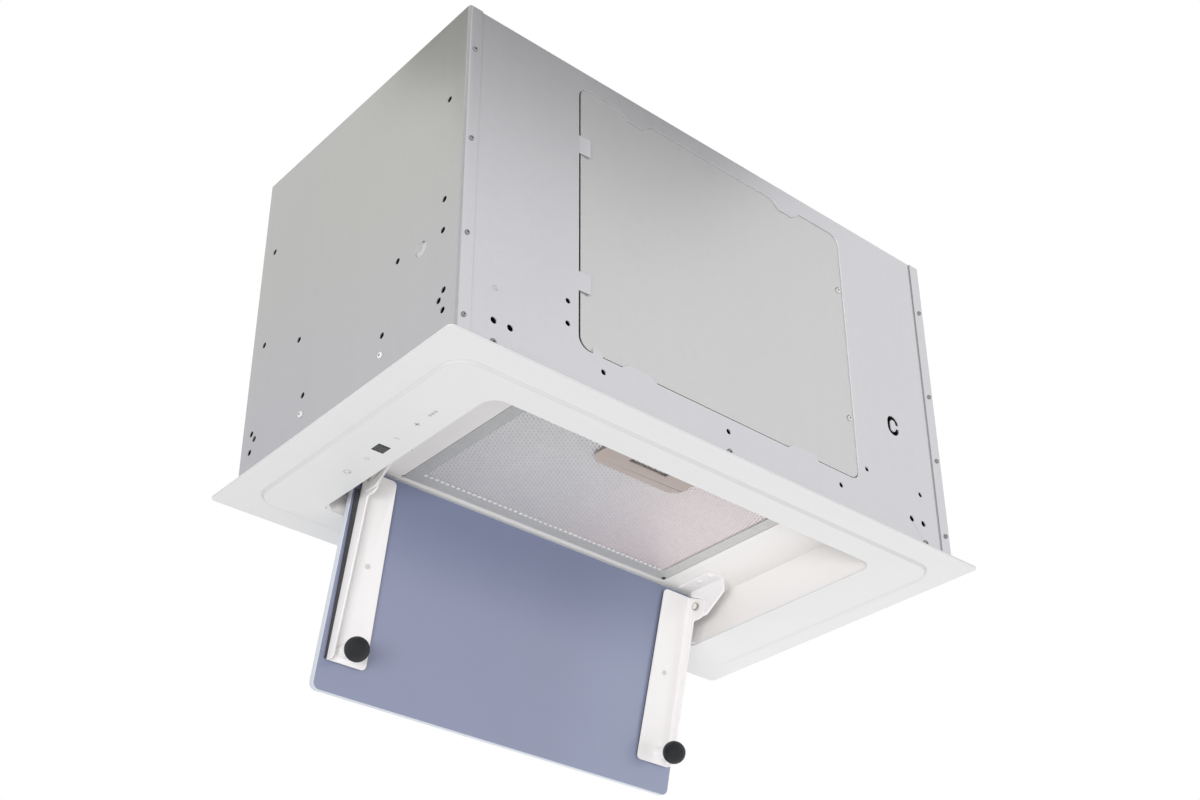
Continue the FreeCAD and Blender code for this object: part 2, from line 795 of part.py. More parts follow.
def rear_panel():
    width = "(body_width - 2 * skin - 2 * bend_inner)"
    plate = box("rear_plate", width, "skin", "body_height + seat_step", f"-{width} / 2",
                "body_depth / 2 - 2 * skin", "-seat_step")
    holes = []
    for name, x, z in front_lap_spots():
        holes.append(drill(f"{name}_rear_hole", "lap_shank", x, "body_depth / 2 - 2 * skin", z, "y"))
    for name, sign, x in fascia_spots():
        holes.append(drill(f"rear_fascia_{name}", "screw_shank", x, "body_depth / 2", "fascia_screw_z", "y"))
    node(cut("rear_cut", plate, *holes), "rear_panel")


def top_panel():
    width = "(body_width - 2 * skin - 2 * bend_inner)"
    depth = "(body_depth - 3 * skin)"
    front = "-body_depth / 2 + skin"
    plate = box("top_plate", width, depth, "skin", f"-{width} / 2", front, "body_height - skin")
    lip_z = "body_height - lip_height"
    lip_width = f"{width} - 4 * lap_width"
    lips = [
        box("top_front_lip", lip_width, "skin", "lip_height", f"-({lip_width}) / 2", front, lip_z),
        box("top_rear_lip", lip_width, "skin", "lip_height", f"-({lip_width}) / 2",
            f"{front} + {depth} - skin", lip_z),
    ]
    outlet = rod("outlet_hole", "stop_inner", "4 * skin", "0", "outlet_y", "body_height - 3 * skin")
    holes = []
    for name, x, y in collar_spots():
        holes.append(drill(f"top_hole_{name}", "screw_shank", x, y, "body_height", "z"))
    node(cut("top_cut", fuse("top_joined", plate, *lips), outlet, *holes), "top_panel")


def body_screws():
    laps = {"front": [], "rear": []}
    for name, x, z in front_lap_spots():
        laps["front"].append(screw(f"{name}_lap_screw", x, "-body_depth / 2 - skin", z, "y", -1, "lap"))
        laps["rear"].append(screw(f"{name}_rear_screw", x, "body_depth / 2", z, "y", 1, "lap"))
    for end, screws in laps.items():
        node(group(f"{end}_screws", screws), f"{end}_lap_screws")
    low = []
    for name, sign, x in fascia_spots():
        seat = "-body_depth / 2" if sign < 0 else "body_depth / 2 - skin"
        low.append(screw(f"fascia_screw_{name}", x, seat, "fascia_screw_z", "y", sign))
    node(group("low_screws", low), "fascia_screws")
    sides = [screw(f"side_screw_{name}", f"{sign} * body_width / 2", y, "side_screw_z", "x", sign)
             for name, sign, y in side_spots()]
    node(group("side_screws", sides), "side_panel_screws")


# Grease filter and latch

def grease_filter():
    base = "recess_depth"
    sheet_in = "2 * filter_sheet"
    outer = slab("filter_outer", "filter_width", "filter_depth", "filter_thick", base)
    channel = slab("filter_channel", f"filter_width - {sheet_in}", f"filter_depth - {sheet_in}",
                   f"filter_thick - {sheet_in}", f"{base} + filter_sheet")
    light = slab("filter_light", "filter_width - 2 * filter_band", "filter_depth - 2 * filter_band",
                 "2 * filter_thick", f"{base} - filter_thick / 2")
    mouth = slab("tongue_mouth", "tongue_width + tongue_play", "4 * filter_sheet",
                 "tongue_thick + tongue_play", f"{base} + filter_sheet", "latch_x", "-filter_depth / 2")
    lugs = []
    for side, sign in SIDES:
        lugs.append(slab(f"filter_lug_{side}", "lug_wide", "lug_reach + filter_sheet", "lug_thick",
                         f"{base} + filter_thick / 2", f"{sign} * lug_x",
                         "filter_depth / 2 + (lug_reach - filter_sheet) / 2"))
    channelled = cut("filter_channelled", outer, channel, light, mouth)
    node(fuse("filter_joined", channelled, *lugs), "filter_frame")
    inset = "2 * (filter_sheet + fit_gap)"
    pack = slab("mesh_pack", f"filter_width - {inset}", f"filter_depth - {inset}", f"filter_thick - {inset}",
                f"{base} + filter_sheet")
    reach = "(latch_front - slot_middle + slot_depth)"
    pocket = slab("mesh_pocket", "slot_width + 2 * pocket_play", f"{reach} + 2 * pocket_play",
                  "2 * filter_thick", base, "latch_x", f"-filter_depth / 2 + {reach} / 2")
    node(cut("mesh_cut", pack, pocket), "filter_mesh")


def filter_latch():
    wide, taper = mm("latch_width") / 2, mm("latch_taper")
    front, rear, soft = -mm("latch_front"), -mm("latch_rear"), mm("latch_corner")
    corners = [(-wide, front, 0), (wide, front, 0), (wide, rear - soft, soft), (wide - taper, rear, soft),
               (taper - wide, rear, soft), (-wide, rear - soft, soft)]
    low = mm("recess_depth") - mm("latch_thick")
    plate = padded("latch_blank", "XY_Plane", low, corner_curves(corners), "latch_thick")
    place(plate, x="latch_x")
    slot = slab("latch_slot", "slot_width", "slot_depth", "4 * latch_thick",
                "recess_depth - 2 * latch_thick", "latch_x", "-slot_middle")
    node(cut("latch_cut", plate, slot), "latch_plate")
    tongue_z = "recess_depth + filter_sheet + slide_gap"
    length = "(filter_depth / 2 + tongue_reach - slot_middle + slot_depth / 2 - latch_travel)"
    tongue = box("latch_tongue", "tongue_width", length, "tongue_thick", "latch_x - tongue_width / 2",
                 "-filter_depth / 2 - tongue_reach", tongue_z)
    grip = box("latch_grip", "tongue_width", "grip_thick", "latch_thick + filter_sheet",
               "latch_x - tongue_width / 2", "-slot_middle - slot_depth / 2 + tongue_play",
               "recess_depth - latch_thick + slide_gap")
    node(fuse("latch_joined", tongue, grip), "latch_slider")


# Drop panel and its hinge

def swing(item, x="0", y="0", z="0"):
    """Turn a piece about the pivots from its closed place to the open one."""
    item.Placement = Placement(Vector(), Rotation(Vector(1, 0, 0), 1))
    bind(item, **{"Placement.Rotation.Angle": "open_angle"})
    ahead, above = f"({y} - pivot_y)", f"({z} - pivot_z)"
    turned_y = f"pivot_y + {ahead} * cos(open_angle) - {above} * sin(open_angle)"
    turned_z = f"pivot_z + {ahead} * sin(open_angle) + {above} * cos(open_angle)"
    return place(item, x, turned_y, turned_z)


def drop_panel():
    block = box("drop_block", "drop_width", "drop_front + drop_rear", "drop_thick", "-drop_width / 2",
                "pivot_y - drop_front", "pivot_z - drop_depth")
    plate = rounded("drop_plate", block, "drop_corner", along("z"))
    node(swing(plate), "drop_panel")


def arm_level():
    """Height of the arms' underside in the closed place, on the pads."""
    return mm("pivot_z") - mm("drop_depth") + mm("drop_thick") + mm("pad_thick")


def arm_outline(sign):
    """Floor of an arm seen from above: its inner edge tapers towards the pivot."""
    front, rear = mm("pivot_y") - mm("arm_front"), mm("pivot_y") + mm("arm_rear")
    outer, soft = sign * mm("arm_outer"), mm("arm_corner")
    near, far = sign * mm("arm_inner_front"), sign * mm("arm_inner_rear")
    return corner_curves([(near, front, soft), (outer, front, 0), (outer, rear, 0), (far, rear, soft)])


def pad_outline(sign):
    """Pad under an arm: below the pivot its outer edge shows beside the web, narrowing towards the end."""
    inset, soft, outer = mm("pad_inset"), mm("arm_corner"), mm("arm_outer")
    front, rear = mm("pivot_y") - mm("arm_front") + inset, mm("pivot_y") + mm("arm_rear") - inset
    step = mm("pivot_y") - mm("pad_step")
    return corner_curves([
        (sign * (mm("arm_inner_front") + inset), front, soft),
        (sign * (outer + mm("pad_show_low")), front, 0),
        (sign * (outer + mm("pad_show_high")), step, 0),
        (sign * (outer - inset), step, 0),
        (sign * (outer - inset), rear, 0),
        (sign * (mm("arm_inner_rear") + inset), rear, soft),
    ])


def hinge_arm(side, sign):
    """Angle section on a foam pad: a floor and an outer web that ends in the pivot's ear."""
    y, z, level = mm("pivot_y"), mm("pivot_z"), arm_level()
    outer, ear, soft = sign * mm("arm_outer"), mm("ear_radius"), mm("ear_corner")
    floor = padded(f"{side}_arm_floor", "XY_Plane", level, arm_outline(sign), "arm_sheet")
    front, rear = y - mm("arm_front"), y + mm("arm_rear")
    web_corners = [(front, level, 0), (rear, level, 0), (y + ear, z + ear, soft), (y - ear, z + ear, soft),
                   (y - ear - mm("ear_root"), z - mm("web_high"), mm("ear_root")),
                   (front, z - mm("web_low"), mm("web_corner"))]
    start = min(outer, outer - sign * mm("arm_sheet"))
    web = padded(f"{side}_arm_web", "YZ_Plane", start, corner_curves(web_corners), "arm_sheet")
    bore = drill(f"{side}_ear_bore", "pin_radius + pin_clear", f"{sign} * arm_outer", "pivot_y", "pivot_z",
                 "x", "4 * screw_length")
    seat = drill(f"{side}_rivet_hole", "rivet_radius / 2", f"{sign} * rivet_x", "pivot_y - rivet_front",
                 ARM_FLOOR, "z", "2 * arm_sheet + fit_gap")
    arm = cut(f"{side}_arm_cut", fuse(f"{side}_arm_joined", floor, web), bore, seat)
    node(swing(arm), f"hinge_arm_{side}")
    pad_low = level - mm("pad_thick")
    pad = padded(f"{side}_pad_body", "XY_Plane", pad_low, pad_outline(sign), "pad_thick")
    node(swing(pad), f"arm_pad_{side}")


def bumper(side, sign):
    """Rubber ball pushed on a short stem that stands on the arm's floor."""
    foot = arm_level() + mm("arm_sheet") - mm("pivot_z")
    centre, radius, stem = mm("ball_rise"), mm("ball_radius"), mm("stem_radius")
    seat = centre - mm("stem_sink")
    flat = math.sqrt(radius ** 2 - (seat - centre) ** 2)
    body = doc.addObject("PartDesign::Body", f"{side}_ball_body")
    profile = sketch_on(body, "XZ_Plane")
    bulge = Vector(radius, centre, 0)
    chain(profile, [
        Part.LineSegment(Vector(0, seat, 0), Vector(flat, seat, 0)),
        Part.Arc(Vector(flat, seat, 0), bulge, Vector(0, centre + radius, 0)),
        Part.LineSegment(Vector(0, centre + radius, 0), Vector(0, seat, 0)),
    ])
    ball = feature(body, "Revolution", profile)
    ball.ReferenceAxis = (profile, ["V_Axis"])
    ball.Angle = 360
    spot = (f"{sign} * ball_x", "pivot_y - ball_front", "pivot_z")
    node(swing(body, *spot), f"bumper_ball_{side}")
    post = turned(f"{side}_stem_body", [(0, foot, 0), (stem, foot, 0), (stem, seat, 0), (0, seat, 0)])
    node(swing(post, *spot), f"bumper_stem_{side}")


def arm_rivets():
    rivets = []
    for side, sign in SIDES:
        spot = (f"{sign} * rivet_x", "pivot_y - rivet_front")
        head = rod(f"{side}_rivet_head", "rivet_radius", "rivet_high", *spot, ARM_FLOOR)
        shank = rod(f"{side}_rivet_shank", "rivet_radius / 2", "arm_sheet", *spot,
                    f"{ARM_FLOOR} - arm_sheet")
        rivets.append(fuse(f"{side}_rivet", head, shank))
    node(swing(group("rivets", rivets)), "arm_rivets")


def hinge_bracket(side, sign):
    """Cheek that hangs from the recess tray beside the arm's ear, with a foot under the tray."""
    y, z, top = mm("pivot_y"), mm("pivot_z"), mm("recess_depth")
    near = sign * (mm("arm_outer") + mm("bracket_gap"))
    start = min(near, near + sign * mm("bracket_thick"))
    radius = mm("bracket_radius")
    front, rear = mm("bracket_front"), mm("bracket_rear")
    corners = [(front, top, 0), (front, mm("bracket_nose"), mm("bracket_corner")),
               (y - radius, z - radius, radius / 2), (rear, z - radius, radius / 2), (rear, top, 0)]
    cheek = padded(f"{side}_cheek", "YZ_Plane", start, corner_curves(corners), "bracket_thick")
    foot_x = f"{sign} * (arm_outer + bracket_gap) - (bracket_foot + {sign} * bracket_foot) / 2"
    foot = box(f"{side}_foot", "bracket_foot + skin", "bracket_rear - bracket_front", "bracket_foot_thick",
               f"{foot_x} - (skin - {sign} * skin) / 2", "bracket_front",
               "recess_depth - bracket_foot_thick")
    holes = []
    for end in ("front", "rear"):
        holes.append(drill(f"{side}_foot_hole_{end}", "screw_shank", f"{sign} * bracket_screw_x",
                           f"bracket_screw_{end}", "recess_depth - bracket_foot_thick", "z"))
    bore = drill(f"{side}_cheek_bore", "pin_radius", f"{sign} * arm_outer", "pivot_y", "pivot_z", "x",
                 "6 * screw_length")
    bracket = fuse(f"{side}_bracket", cheek, foot)
    node(cut(f"{side}_bracket_cut", bracket, bore, *holes), f"hinge_bracket_{side}")


def hinge_pin(side, sign):
    """Pivot screw: its head is inside the arm's web, its shank is fast in the bracket."""
    outward = f"{sign} * (arm_outer + bracket_gap + bracket_thick)"
    length = "(bracket_thick + bracket_gap + arm_sheet + bracket_gap)"
    shank_x = f"{outward} - ({length} + {sign} * {length}) / 2"
    head_x = f"{outward} - {sign} * {length} - (pin_head_high + {sign} * pin_head_high) / 2"
    shank = rod(f"{side}_pin_shank", "pin_radius", length, shank_x, "pivot_y", "pivot_z", "x")
    head = rod(f"{side}_pin_head", "pin_head", "pin_head_high", head_x, "pivot_y", "pivot_z", "x")
    node(fuse(f"{side}_pin", shank, head), f"hinge_pin_{side}")


def bracket_screws():
    screws = []
    for side, sign in SIDES:
        for end in ("front", "rear"):
            screws.append(screw(f"foot_screw_{side}_{end}", f"{sign} * bracket_screw_x",
                                f"bracket_screw_{end}", "recess_depth - bracket_foot_thick", "z", -1))
    node(group("bracket_screw_set", screws), "bracket_screws")


# Touch control and lamp

def touch_control():
    back = "-raised_drop"
    node(slab("display_pane", "display_size - 2 * fit_gap", "display_size - 2 * fit_gap", "flange_thick",
              f"{back} - flange_thick", "display_x", "display_y"), "display_window")
    node(slab("touch_pcb", "board_width", "board_length", "board_thick", back,
              "display_x + display_size / 2 - board_width / 2", "0"), "touch_board")


def recess_lamp():
    base = "recess_depth - lamp_high"
    housing = slab("lamp_box", "lamp_length", "lamp_depth", "lamp_high", base, "0", "-lamp_middle")
    node(housing, "lamp_housing")
    lens = slab("lamp_pane", "lamp_length - 2 * lens_inset", "lamp_depth - 2 * lens_inset", "lens_high",
                f"{base} - lens_high", "0", "-lamp_middle")
    node(lens, "lamp_lens")


# Blower

def scroll_points(grow):
    """Ends and middles of the scroll's outline, grown outward by the sheet; y then z."""
    step, first = mm("scroll_step"), mm("scroll_first") + grow
    y, z, top = mm("fan_y"), mm("fan_z"), mm("body_height") - mm("skin")
    half = step / 2
    centres = (Vector(y - half, z - half), Vector(y + half, z - half), Vector(y + half, z + half))
    angles = (mm("scroll_start"), 180, 270, 360)
    arcs = []
    for k, centre in enumerate(centres):
        reach = first + k * step
        turn = [math.radians(a) for a in (angles[k], (angles[k] + angles[k + 1]) / 2, angles[k + 1])]
        arcs.append(Part.Arc(*[centre + Vector(math.cos(a), math.sin(a)) * reach for a in turn]))
    begin = centres[0] + Vector(math.cos(math.radians(angles[0])), math.sin(math.radians(angles[0]))) * first
    finish = centres[2] + Vector(mm("scroll_first") + 2 * step + grow, 0)
    rise = Part.LineSegment(finish, Vector(finish.x, top))
    fall = Part.LineSegment(Vector(begin.x, top), begin)
    return fall, arcs, rise


def blower_casing():
    inside, outside = scroll_points(0), scroll_points(mm("scroll_sheet"))
    ends = [Part.LineSegment(inside[0].StartPoint, outside[0].StartPoint),
            Part.LineSegment(inside[2].EndPoint, outside[2].EndPoint)]
    inner_run = [inside[0], *inside[1], inside[2], ends[1]]
    outer_run = [outside[2], *reversed(outside[1]), outside[0], ends[0]]
    wrap = padded("scroll_wrap", "YZ_Plane", -mm("scroll_half"), inner_run + outer_run, "2 * scroll_half")
    node(wrap, "blower_scroll")
    for side, sign in SIDES:
        lid = Part.LineSegment(outside[2].EndPoint, outside[0].StartPoint)
        start = min(sign * mm("scroll_half"), sign * (mm("scroll_half") + mm("scroll_sheet")))
        plate = padded(f"{side}_cheek_plate", "YZ_Plane", start, [outside[0], *outside[1], outside[2], lid],
                       "scroll_sheet")
        eye = drill(f"{side}_eye", "inlet_radius + inlet_flare + scroll_sheet + eye_clear",
                    f"{sign} * scroll_half", "fan_y", "fan_z", "x")
        node(cut(f"{side}_cheek_cut", plate, eye), f"blower_side_{side}")
        inlet_ring(side, sign)


def inlet_ring(side, sign):
    """Flared inlet that hangs in the side plate's eye."""
    throat, flange, t = mm("inlet_radius"), mm("inlet_flange"), mm("scroll_sheet")
    depth, flare = mm("inlet_depth"), mm("inlet_flare")
    corners = [(throat, -depth, 0), (throat + t, -depth, 0), (throat + t, t / 2 - flare, 0),
               (throat + flare + t / 2, 0, 0), (flange, 0, 0), (flange, t, 0), (throat + flare, t, 0),
               (throat, t - flare, 0)]
    ring = turned(f"{side}_inlet_body", corners)
    turn = Rotation(Vector(0, 1, 0), 90 * sign)
    ring.Placement = Placement(Vector(), turn)
    place(ring, f"{sign} * (scroll_half + scroll_sheet)", "fan_y", "fan_z")
    node(ring, f"inlet_ring_{side}")


def blade_curves():
    centre = Vector(mm("blade_out"), mm("blade_side"))
    half = mm("blade_sheet") / 2
    begin, end = math.radians(mm("blade_begin")), math.radians(mm("blade_end"))

    def spot(radius, angle):
        return centre + Vector(math.cos(angle), math.sin(angle)) * radius

    radii = (mm("blade_radius") - half, mm("blade_radius") + half)
    middle = (begin + end) / 2
    inner, outer = [Part.Arc(*[spot(r, a) for a in (begin, middle, end)]) for r in radii]
    return [inner, Part.LineSegment(spot(radii[0], end), spot(radii[1], end)), outer,
            Part.LineSegment(spot(radii[1], begin), spot(radii[0], begin))]


def circle_pad(body, radius, low, length, inner=None):
    profile = sketch_on(body, "XY_Plane", low)
    for size in (radius, inner):
        if size:
            k = profile.addGeometry(Part.Circle(Vector(), Vector(0, 0, 1), mm(size)), False)
            profile.addConstraint(Sketcher.Constraint("Coincident", k, 3, -1, 1))
            sized = profile.addConstraint(Sketcher.Constraint("Radius", k, mm(size)))
            profile.setExpression(f"Constraints[{sized}]", bound(size))
    return feature(body, "Pad", profile, Length=length)


def blower_wheel():
    """Double-inlet wheel: forward-curved blades on a middle disc, tied by a ring at each end."""
    body = doc.addObject("PartDesign::Body", "wheel_body")
    half = mm("wheel_half")
    circle_pad(body, "wheel_radius", -mm("wheel_disc") / 2, "wheel_disc")
    circle_pad(body, "hub_radius", -mm("hub_length") / 2, "hub_length")
    profile = sketch_on(body, "XY_Plane", -half)
    chain(profile, blade_curves())
    blade = feature(body, "Pad", profile, Length="2 * wheel_half")
    pattern = body.newObject("PartDesign::PolarPattern", "wheel_blades")
    pattern.Originals = [blade]
    pattern.Axis = (profile, ["N_Axis"])
    pattern.Angle = 360
    bind(pattern, Occurrences="blade_count")
    body.Tip = pattern
    for low in (-half, half - mm("wheel_disc")):
        circle_pad(body, "wheel_radius", low, "wheel_disc", "wheel_ring")
    place(body, "0", "fan_y", "fan_z", "x")
    bore = drill("wheel_bore", "shaft_radius + shaft_clear / 2", "0", "fan_y", "fan_z", "x",
                 "2 * hub_length")
    node(cut("wheel_cut", body, bore), "blower_wheel")
    node(rod("shaft_rod", "shaft_radius", "motor_start + motor_length - shaft_end + hub_length / 2",
             "-hub_length / 2", "fan_y", "fan_z", "x"), "motor_shaft")


def blower_motor():
    bore = mm("shaft_radius") + mm("shaft_clear")
    radius, length, nose, boss = mm("motor_radius"), mm("motor_length"), mm("motor_nose"), mm("motor_boss")
    edge = mm("motor_edge")
    corners = [(bore, 0, 0), (boss, 0, 0), (boss, nose, 0), (radius - edge, nose, 0),
               (radius, nose + edge, 0), (radius, length - edge, 0), (radius - edge, length, 0),
               (bore, length, 0)]
    can = turned("motor_body", corners)
    place(can, "motor_start", "fan_y", "fan_z", "x")
    node(can, "motor_can")
    body = doc.addObject("PartDesign::Body", "spider_body")
    plate_low = mm("motor_start") + mm("motor_nose") - mm("bracket_plate")
    circle_pad(body, "motor_radius", plate_low, "bracket_plate", "motor_boss")
    post = sketch_on(body, "XY_Plane", mm("scroll_half") + mm("scroll_sheet"))
    circle, size = mm("post_circle"), mm("post_radius")
    post.addGeometry(Part.Circle(Vector(circle, 0), Vector(0, 0, 1), size), False)
    arm = sketch_on(body, "XY_Plane", plate_low)
    reach = mm("motor_radius") - mm("post_root")
    chain(arm, corner_curves([(reach, -size, 0), (circle, -size, 0), (circle, size, 0), (reach, size, 0)]))
    arm_pad = feature(body, "Pad", arm, Length="bracket_plate")
    post_pad = feature(body, "Pad", post, Length="motor_start + motor_nose - scroll_half - scroll_sheet")
    pattern = body.newObject("PartDesign::PolarPattern", "spider_arms")
    pattern.Originals = [arm_pad, post_pad]
    pattern.Axis = (arm, ["N_Axis"])
    pattern.Angle = 360
    bind(pattern, Occurrences="post_count")
    body.Tip = pattern
    place(body, "0", "fan_y", "fan_z", "x")
    node(body, "motor_bracket")
    node(rod("capacitor_can", "capacitor_radius", "capacitor_length", "scroll_half + scroll_sheet",
             "capacitor_y", "capacitor_z", "x"), "motor_capacitor")


def electric_boxes():
    control = slab("control_case", "control_width", "control_depth", "control_height", "control_z",
                   "control_x", "body_depth / 2 - 2 * skin - control_depth / 2")
    node(rounded("control_shell", control, "latch_corner", along("z")), "control_box")
    terminal = slab("terminal_case", "terminal_width", "terminal_depth", "terminal_height",
                    "knockout_z - terminal_height / 2", "knockout_x",
                    "-body_depth / 2 + skin + terminal_depth / 2")
    entry = drill("terminal_entry", "knockout_outer + knockout_long / 2 + terminal_play", "knockout_x",
                  "-body_depth / 2", "knockout_z", "y", "terminal_depth")
    node(cut("terminal_cut", terminal, entry), "terminal_box")


# Duct collar and flaps

def collar_spots():
    for k, (sx, sy) in enumerate(((-1, -1), (1, -1), (1, 1), (-1, 1))):
        yield str(k), f"{sx} * collar_screw * cos(45)", f"outlet_y + {sy} * collar_screw * sin(45)"


def duct_collar():
    """Tube with an inner stop for the flaps, standing on a flat ring that is screwed to the top panel."""
    outer, height = mm("collar_radius"), mm("collar_height")
    inner, base = outer - mm("collar_wall"), mm("collar_base")
    stop_top = mm("flap_height") - mm("flap_thick") / 2 - mm("flap_gap")
    stop_low, stop_in = stop_top - mm("stop_thick"), mm("stop_inner")
    rim = mm("collar_flange")
    tube = turned("collar_body", [(inner, base, 0), (outer, base, 0), (outer, height, 0), (inner, height, 0),
                                  (inner, stop_top, 0), (stop_in, stop_top, 0), (stop_in, stop_low, 0),
                                  (inner, stop_low, 0)])
    ring = turned("collar_ring", [(inner, 0, 0), (rim, 0, 0), (rim, base, 0), (inner, base, 0)])
    for body in (tube, ring):
        place(body, "0", "outlet_y", "body_height")
    pin_holes = []
    for end, k in (("front", -1), ("rear", 1)):
        y = f"outlet_y + {k} * flap_split"
        axis_z = "body_height + flap_height"
        pin_holes.append(drill(f"pin_hole_{end}", "damper_pin", "0", y, axis_z, "x", "4 * collar_radius"))
        node(rod(f"damper_rod_{end}", "damper_pin", "2 * (collar_radius - collar_wall / 2)",
                 "-collar_radius + collar_wall / 2", y, axis_z, "x"), f"damper_pin_{end}")
        damper_flap(end, k, y)
    node(cut("collar_cut", tube, *pin_holes), "duct_collar")
    holes, screws = [], []
    for name, x, y in collar_spots():
        holes.append(drill(f"collar_hole_{name}", "screw_shank", x, y, "body_height", "z"))
        screws.append(screw(f"collar_screw_{name}", x, y, "body_height + collar_base", "z", 1))
    node(cut("collar_ring_cut", ring, *holes), "collar_flange")
    node(group("collar_screw_set", screws), "collar_screws")


def damper_flap(end, k, y):
    """Half disc with a rolled knuckle along its straight edge, lying closed on the collar's stop."""
    radius, split = mm("flap_radius"), mm("flap_split")
    span = math.sqrt(radius ** 2 - split ** 2)
    left, right = Vector(-span, k * split), Vector(span, k * split)
    curves = [Part.LineSegment(left, right), Part.Arc(right, Vector(0, k * radius), left)]
    level = mm("body_height") + mm("flap_height") - mm("flap_thick") / 2
    disc = padded(f"{end}_half_disc", "XY_Plane", level, curves, "flap_thick")
    place(disc, y="outlet_y")
    axis_z = "body_height + flap_height"
    knuckle = rod(f"{end}_knuckle", "knuckle_radius", "2 * knuckle_half", "-knuckle_half", y, axis_z, "x")
    bore = drill(f"{end}_flap_bore", "damper_pin + damper_clear", "0", y, axis_z, "x", "4 * collar_radius")
    node(cut(f"{end}_flap_cut", fuse(f"{end}_flap", disc, knuckle), bore), f"damper_flap_{end}")


def check_and_write():
    doc.recompute()
    failed = [item.Name for item in doc.Objects if {"Invalid", "Error"} & set(item.State)]
    if failed:
        raise RuntimeError(f"failed objects: {failed}")
    for item in nodes:
        if item.Shape.isNull() or not item.Shape.isValid() or not item.Shape.Solids:
            raise RuntimeError(f"bad shape: {item.Label}")
    os.makedirs("parts", exist_ok=True)
    for item in nodes:
        item.Shape.exportStep(f"parts/{item.Label}.step")
    print(len(nodes), "nodes")


fascia_frame()
recess_tray()
filter_seat()
for side_name, side_sign in SIDES:
    side_panel(side_name, side_sign)
front_panel()
service_cover()
rear_panel()
top_panel()
body_screws()
grease_filter()
filter_latch()
drop_panel()
for side_name, side_sign in SIDES:
    hinge_arm(side_name, side_sign)
    bumper(side_name, side_sign)
    hinge_bracket(side_name, side_sign)
    hinge_pin(side_name, side_sign)
arm_rivets()
bracket_screws()
touch_control()
recess_lamp()
blower_casing()
blower_wheel()
blower_motor()
electric_boxes()
duct_collar()
check_and_write()
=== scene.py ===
# %% [markdown]
# # A built-in range hood
# This lesson dresses a finished CAD model. The solids come in as a fixed frame, and each step below gives
# one of them a finish, or models a finer piece that stands in its place.

# %% Load the frame
import bpy
import json
import math
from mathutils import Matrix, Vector


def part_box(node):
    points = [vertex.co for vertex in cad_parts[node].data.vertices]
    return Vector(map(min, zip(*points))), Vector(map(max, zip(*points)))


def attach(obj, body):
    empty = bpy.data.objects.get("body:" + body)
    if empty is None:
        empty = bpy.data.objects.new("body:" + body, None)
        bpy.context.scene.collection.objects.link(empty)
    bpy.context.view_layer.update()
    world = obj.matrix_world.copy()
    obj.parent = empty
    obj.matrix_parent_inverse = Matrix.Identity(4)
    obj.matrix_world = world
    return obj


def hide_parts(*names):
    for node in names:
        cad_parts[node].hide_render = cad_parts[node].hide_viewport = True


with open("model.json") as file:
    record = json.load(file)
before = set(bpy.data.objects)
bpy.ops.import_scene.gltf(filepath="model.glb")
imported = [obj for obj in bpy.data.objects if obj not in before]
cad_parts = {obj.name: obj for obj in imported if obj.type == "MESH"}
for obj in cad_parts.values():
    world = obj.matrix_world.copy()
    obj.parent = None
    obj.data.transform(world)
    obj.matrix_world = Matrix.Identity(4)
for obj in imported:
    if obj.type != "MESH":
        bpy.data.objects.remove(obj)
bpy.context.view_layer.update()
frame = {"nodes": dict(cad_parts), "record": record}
nodes = frame["nodes"]
scene = bpy.context.scene
scene.view_settings.view_transform = "Standard"
MM = 0.001
body_of = {name: body for body, names in frame["record"]["behaviour"]["bodies"].items() for name in names}
bpy.ops.object.select_all(action="DESELECT")

# %% [markdown]
# ## Camera
# The photograph looks up at the hood from its front left, so that three faces and the recess show. The
# lens, place and turn below were measured from the edges of the body and the flange.

# %% Camera
LENS, SENSOR_WIDTH = 51.61, 36
CAMERA_PLACE = (-0.7795, -0.8836, -0.6236)
CAMERA_TURN = (120.388, -0.886, -39.192)
CAMERA_SHIFT = (0.0552, 0.0485)
CAMERA_REACH = 50
bpy.ops.object.camera_add(location=CAMERA_PLACE, rotation=[math.radians(a) for a in CAMERA_TURN])
camera = bpy.context.object
camera.data.lens = LENS
camera.data.sensor_width = SENSOR_WIDTH
camera.data.shift_x, camera.data.shift_y = CAMERA_SHIFT
camera.data.clip_end = CAMERA_REACH
scene.camera = camera
print("camera at", tuple(camera.location))

# %% [markdown]
# ## Node helper
# Every finish below is a small graph of shader nodes. One helper adds a node and fills its inputs: an
# input that is given a socket is linked, and any other value is simply set. It keeps the graphs short to
# read. The mix, range and sum nodes have several inputs of one name, so theirs are called by number.

# %% Node helper
MIX_A, MIX_B, MIX_OUT = 6, 7, 2
VALUE, FROM_MIN, FROM_MAX, TO_MIN, TO_MAX = range(5)
WHITE = (1, 1, 1, 1)


def put(tree, kind, inputs=None, **settings):
    item = tree.nodes.new(kind)
    for name, value in settings.items():
        setattr(item, name, value)
    for name, value in (inputs or {}).items():
        if isinstance(value, bpy.types.NodeSocket):
            tree.links.new(value, item.inputs[name])
        else:
            item.inputs[name].default_value = value
    return item


print("helper ready:", put.__name__)

# %% [markdown]
# ## Studio
# The photograph is a cut-out on plain white. The world shows white to the camera and to reflections, and
# gives a softer light to everything else, so that the white ground needs no extra light on the hood. The
# floor lies well below, out of the camera's view, and catches the shadow in the other views. In
# reflections it is white like the rest of the studio.

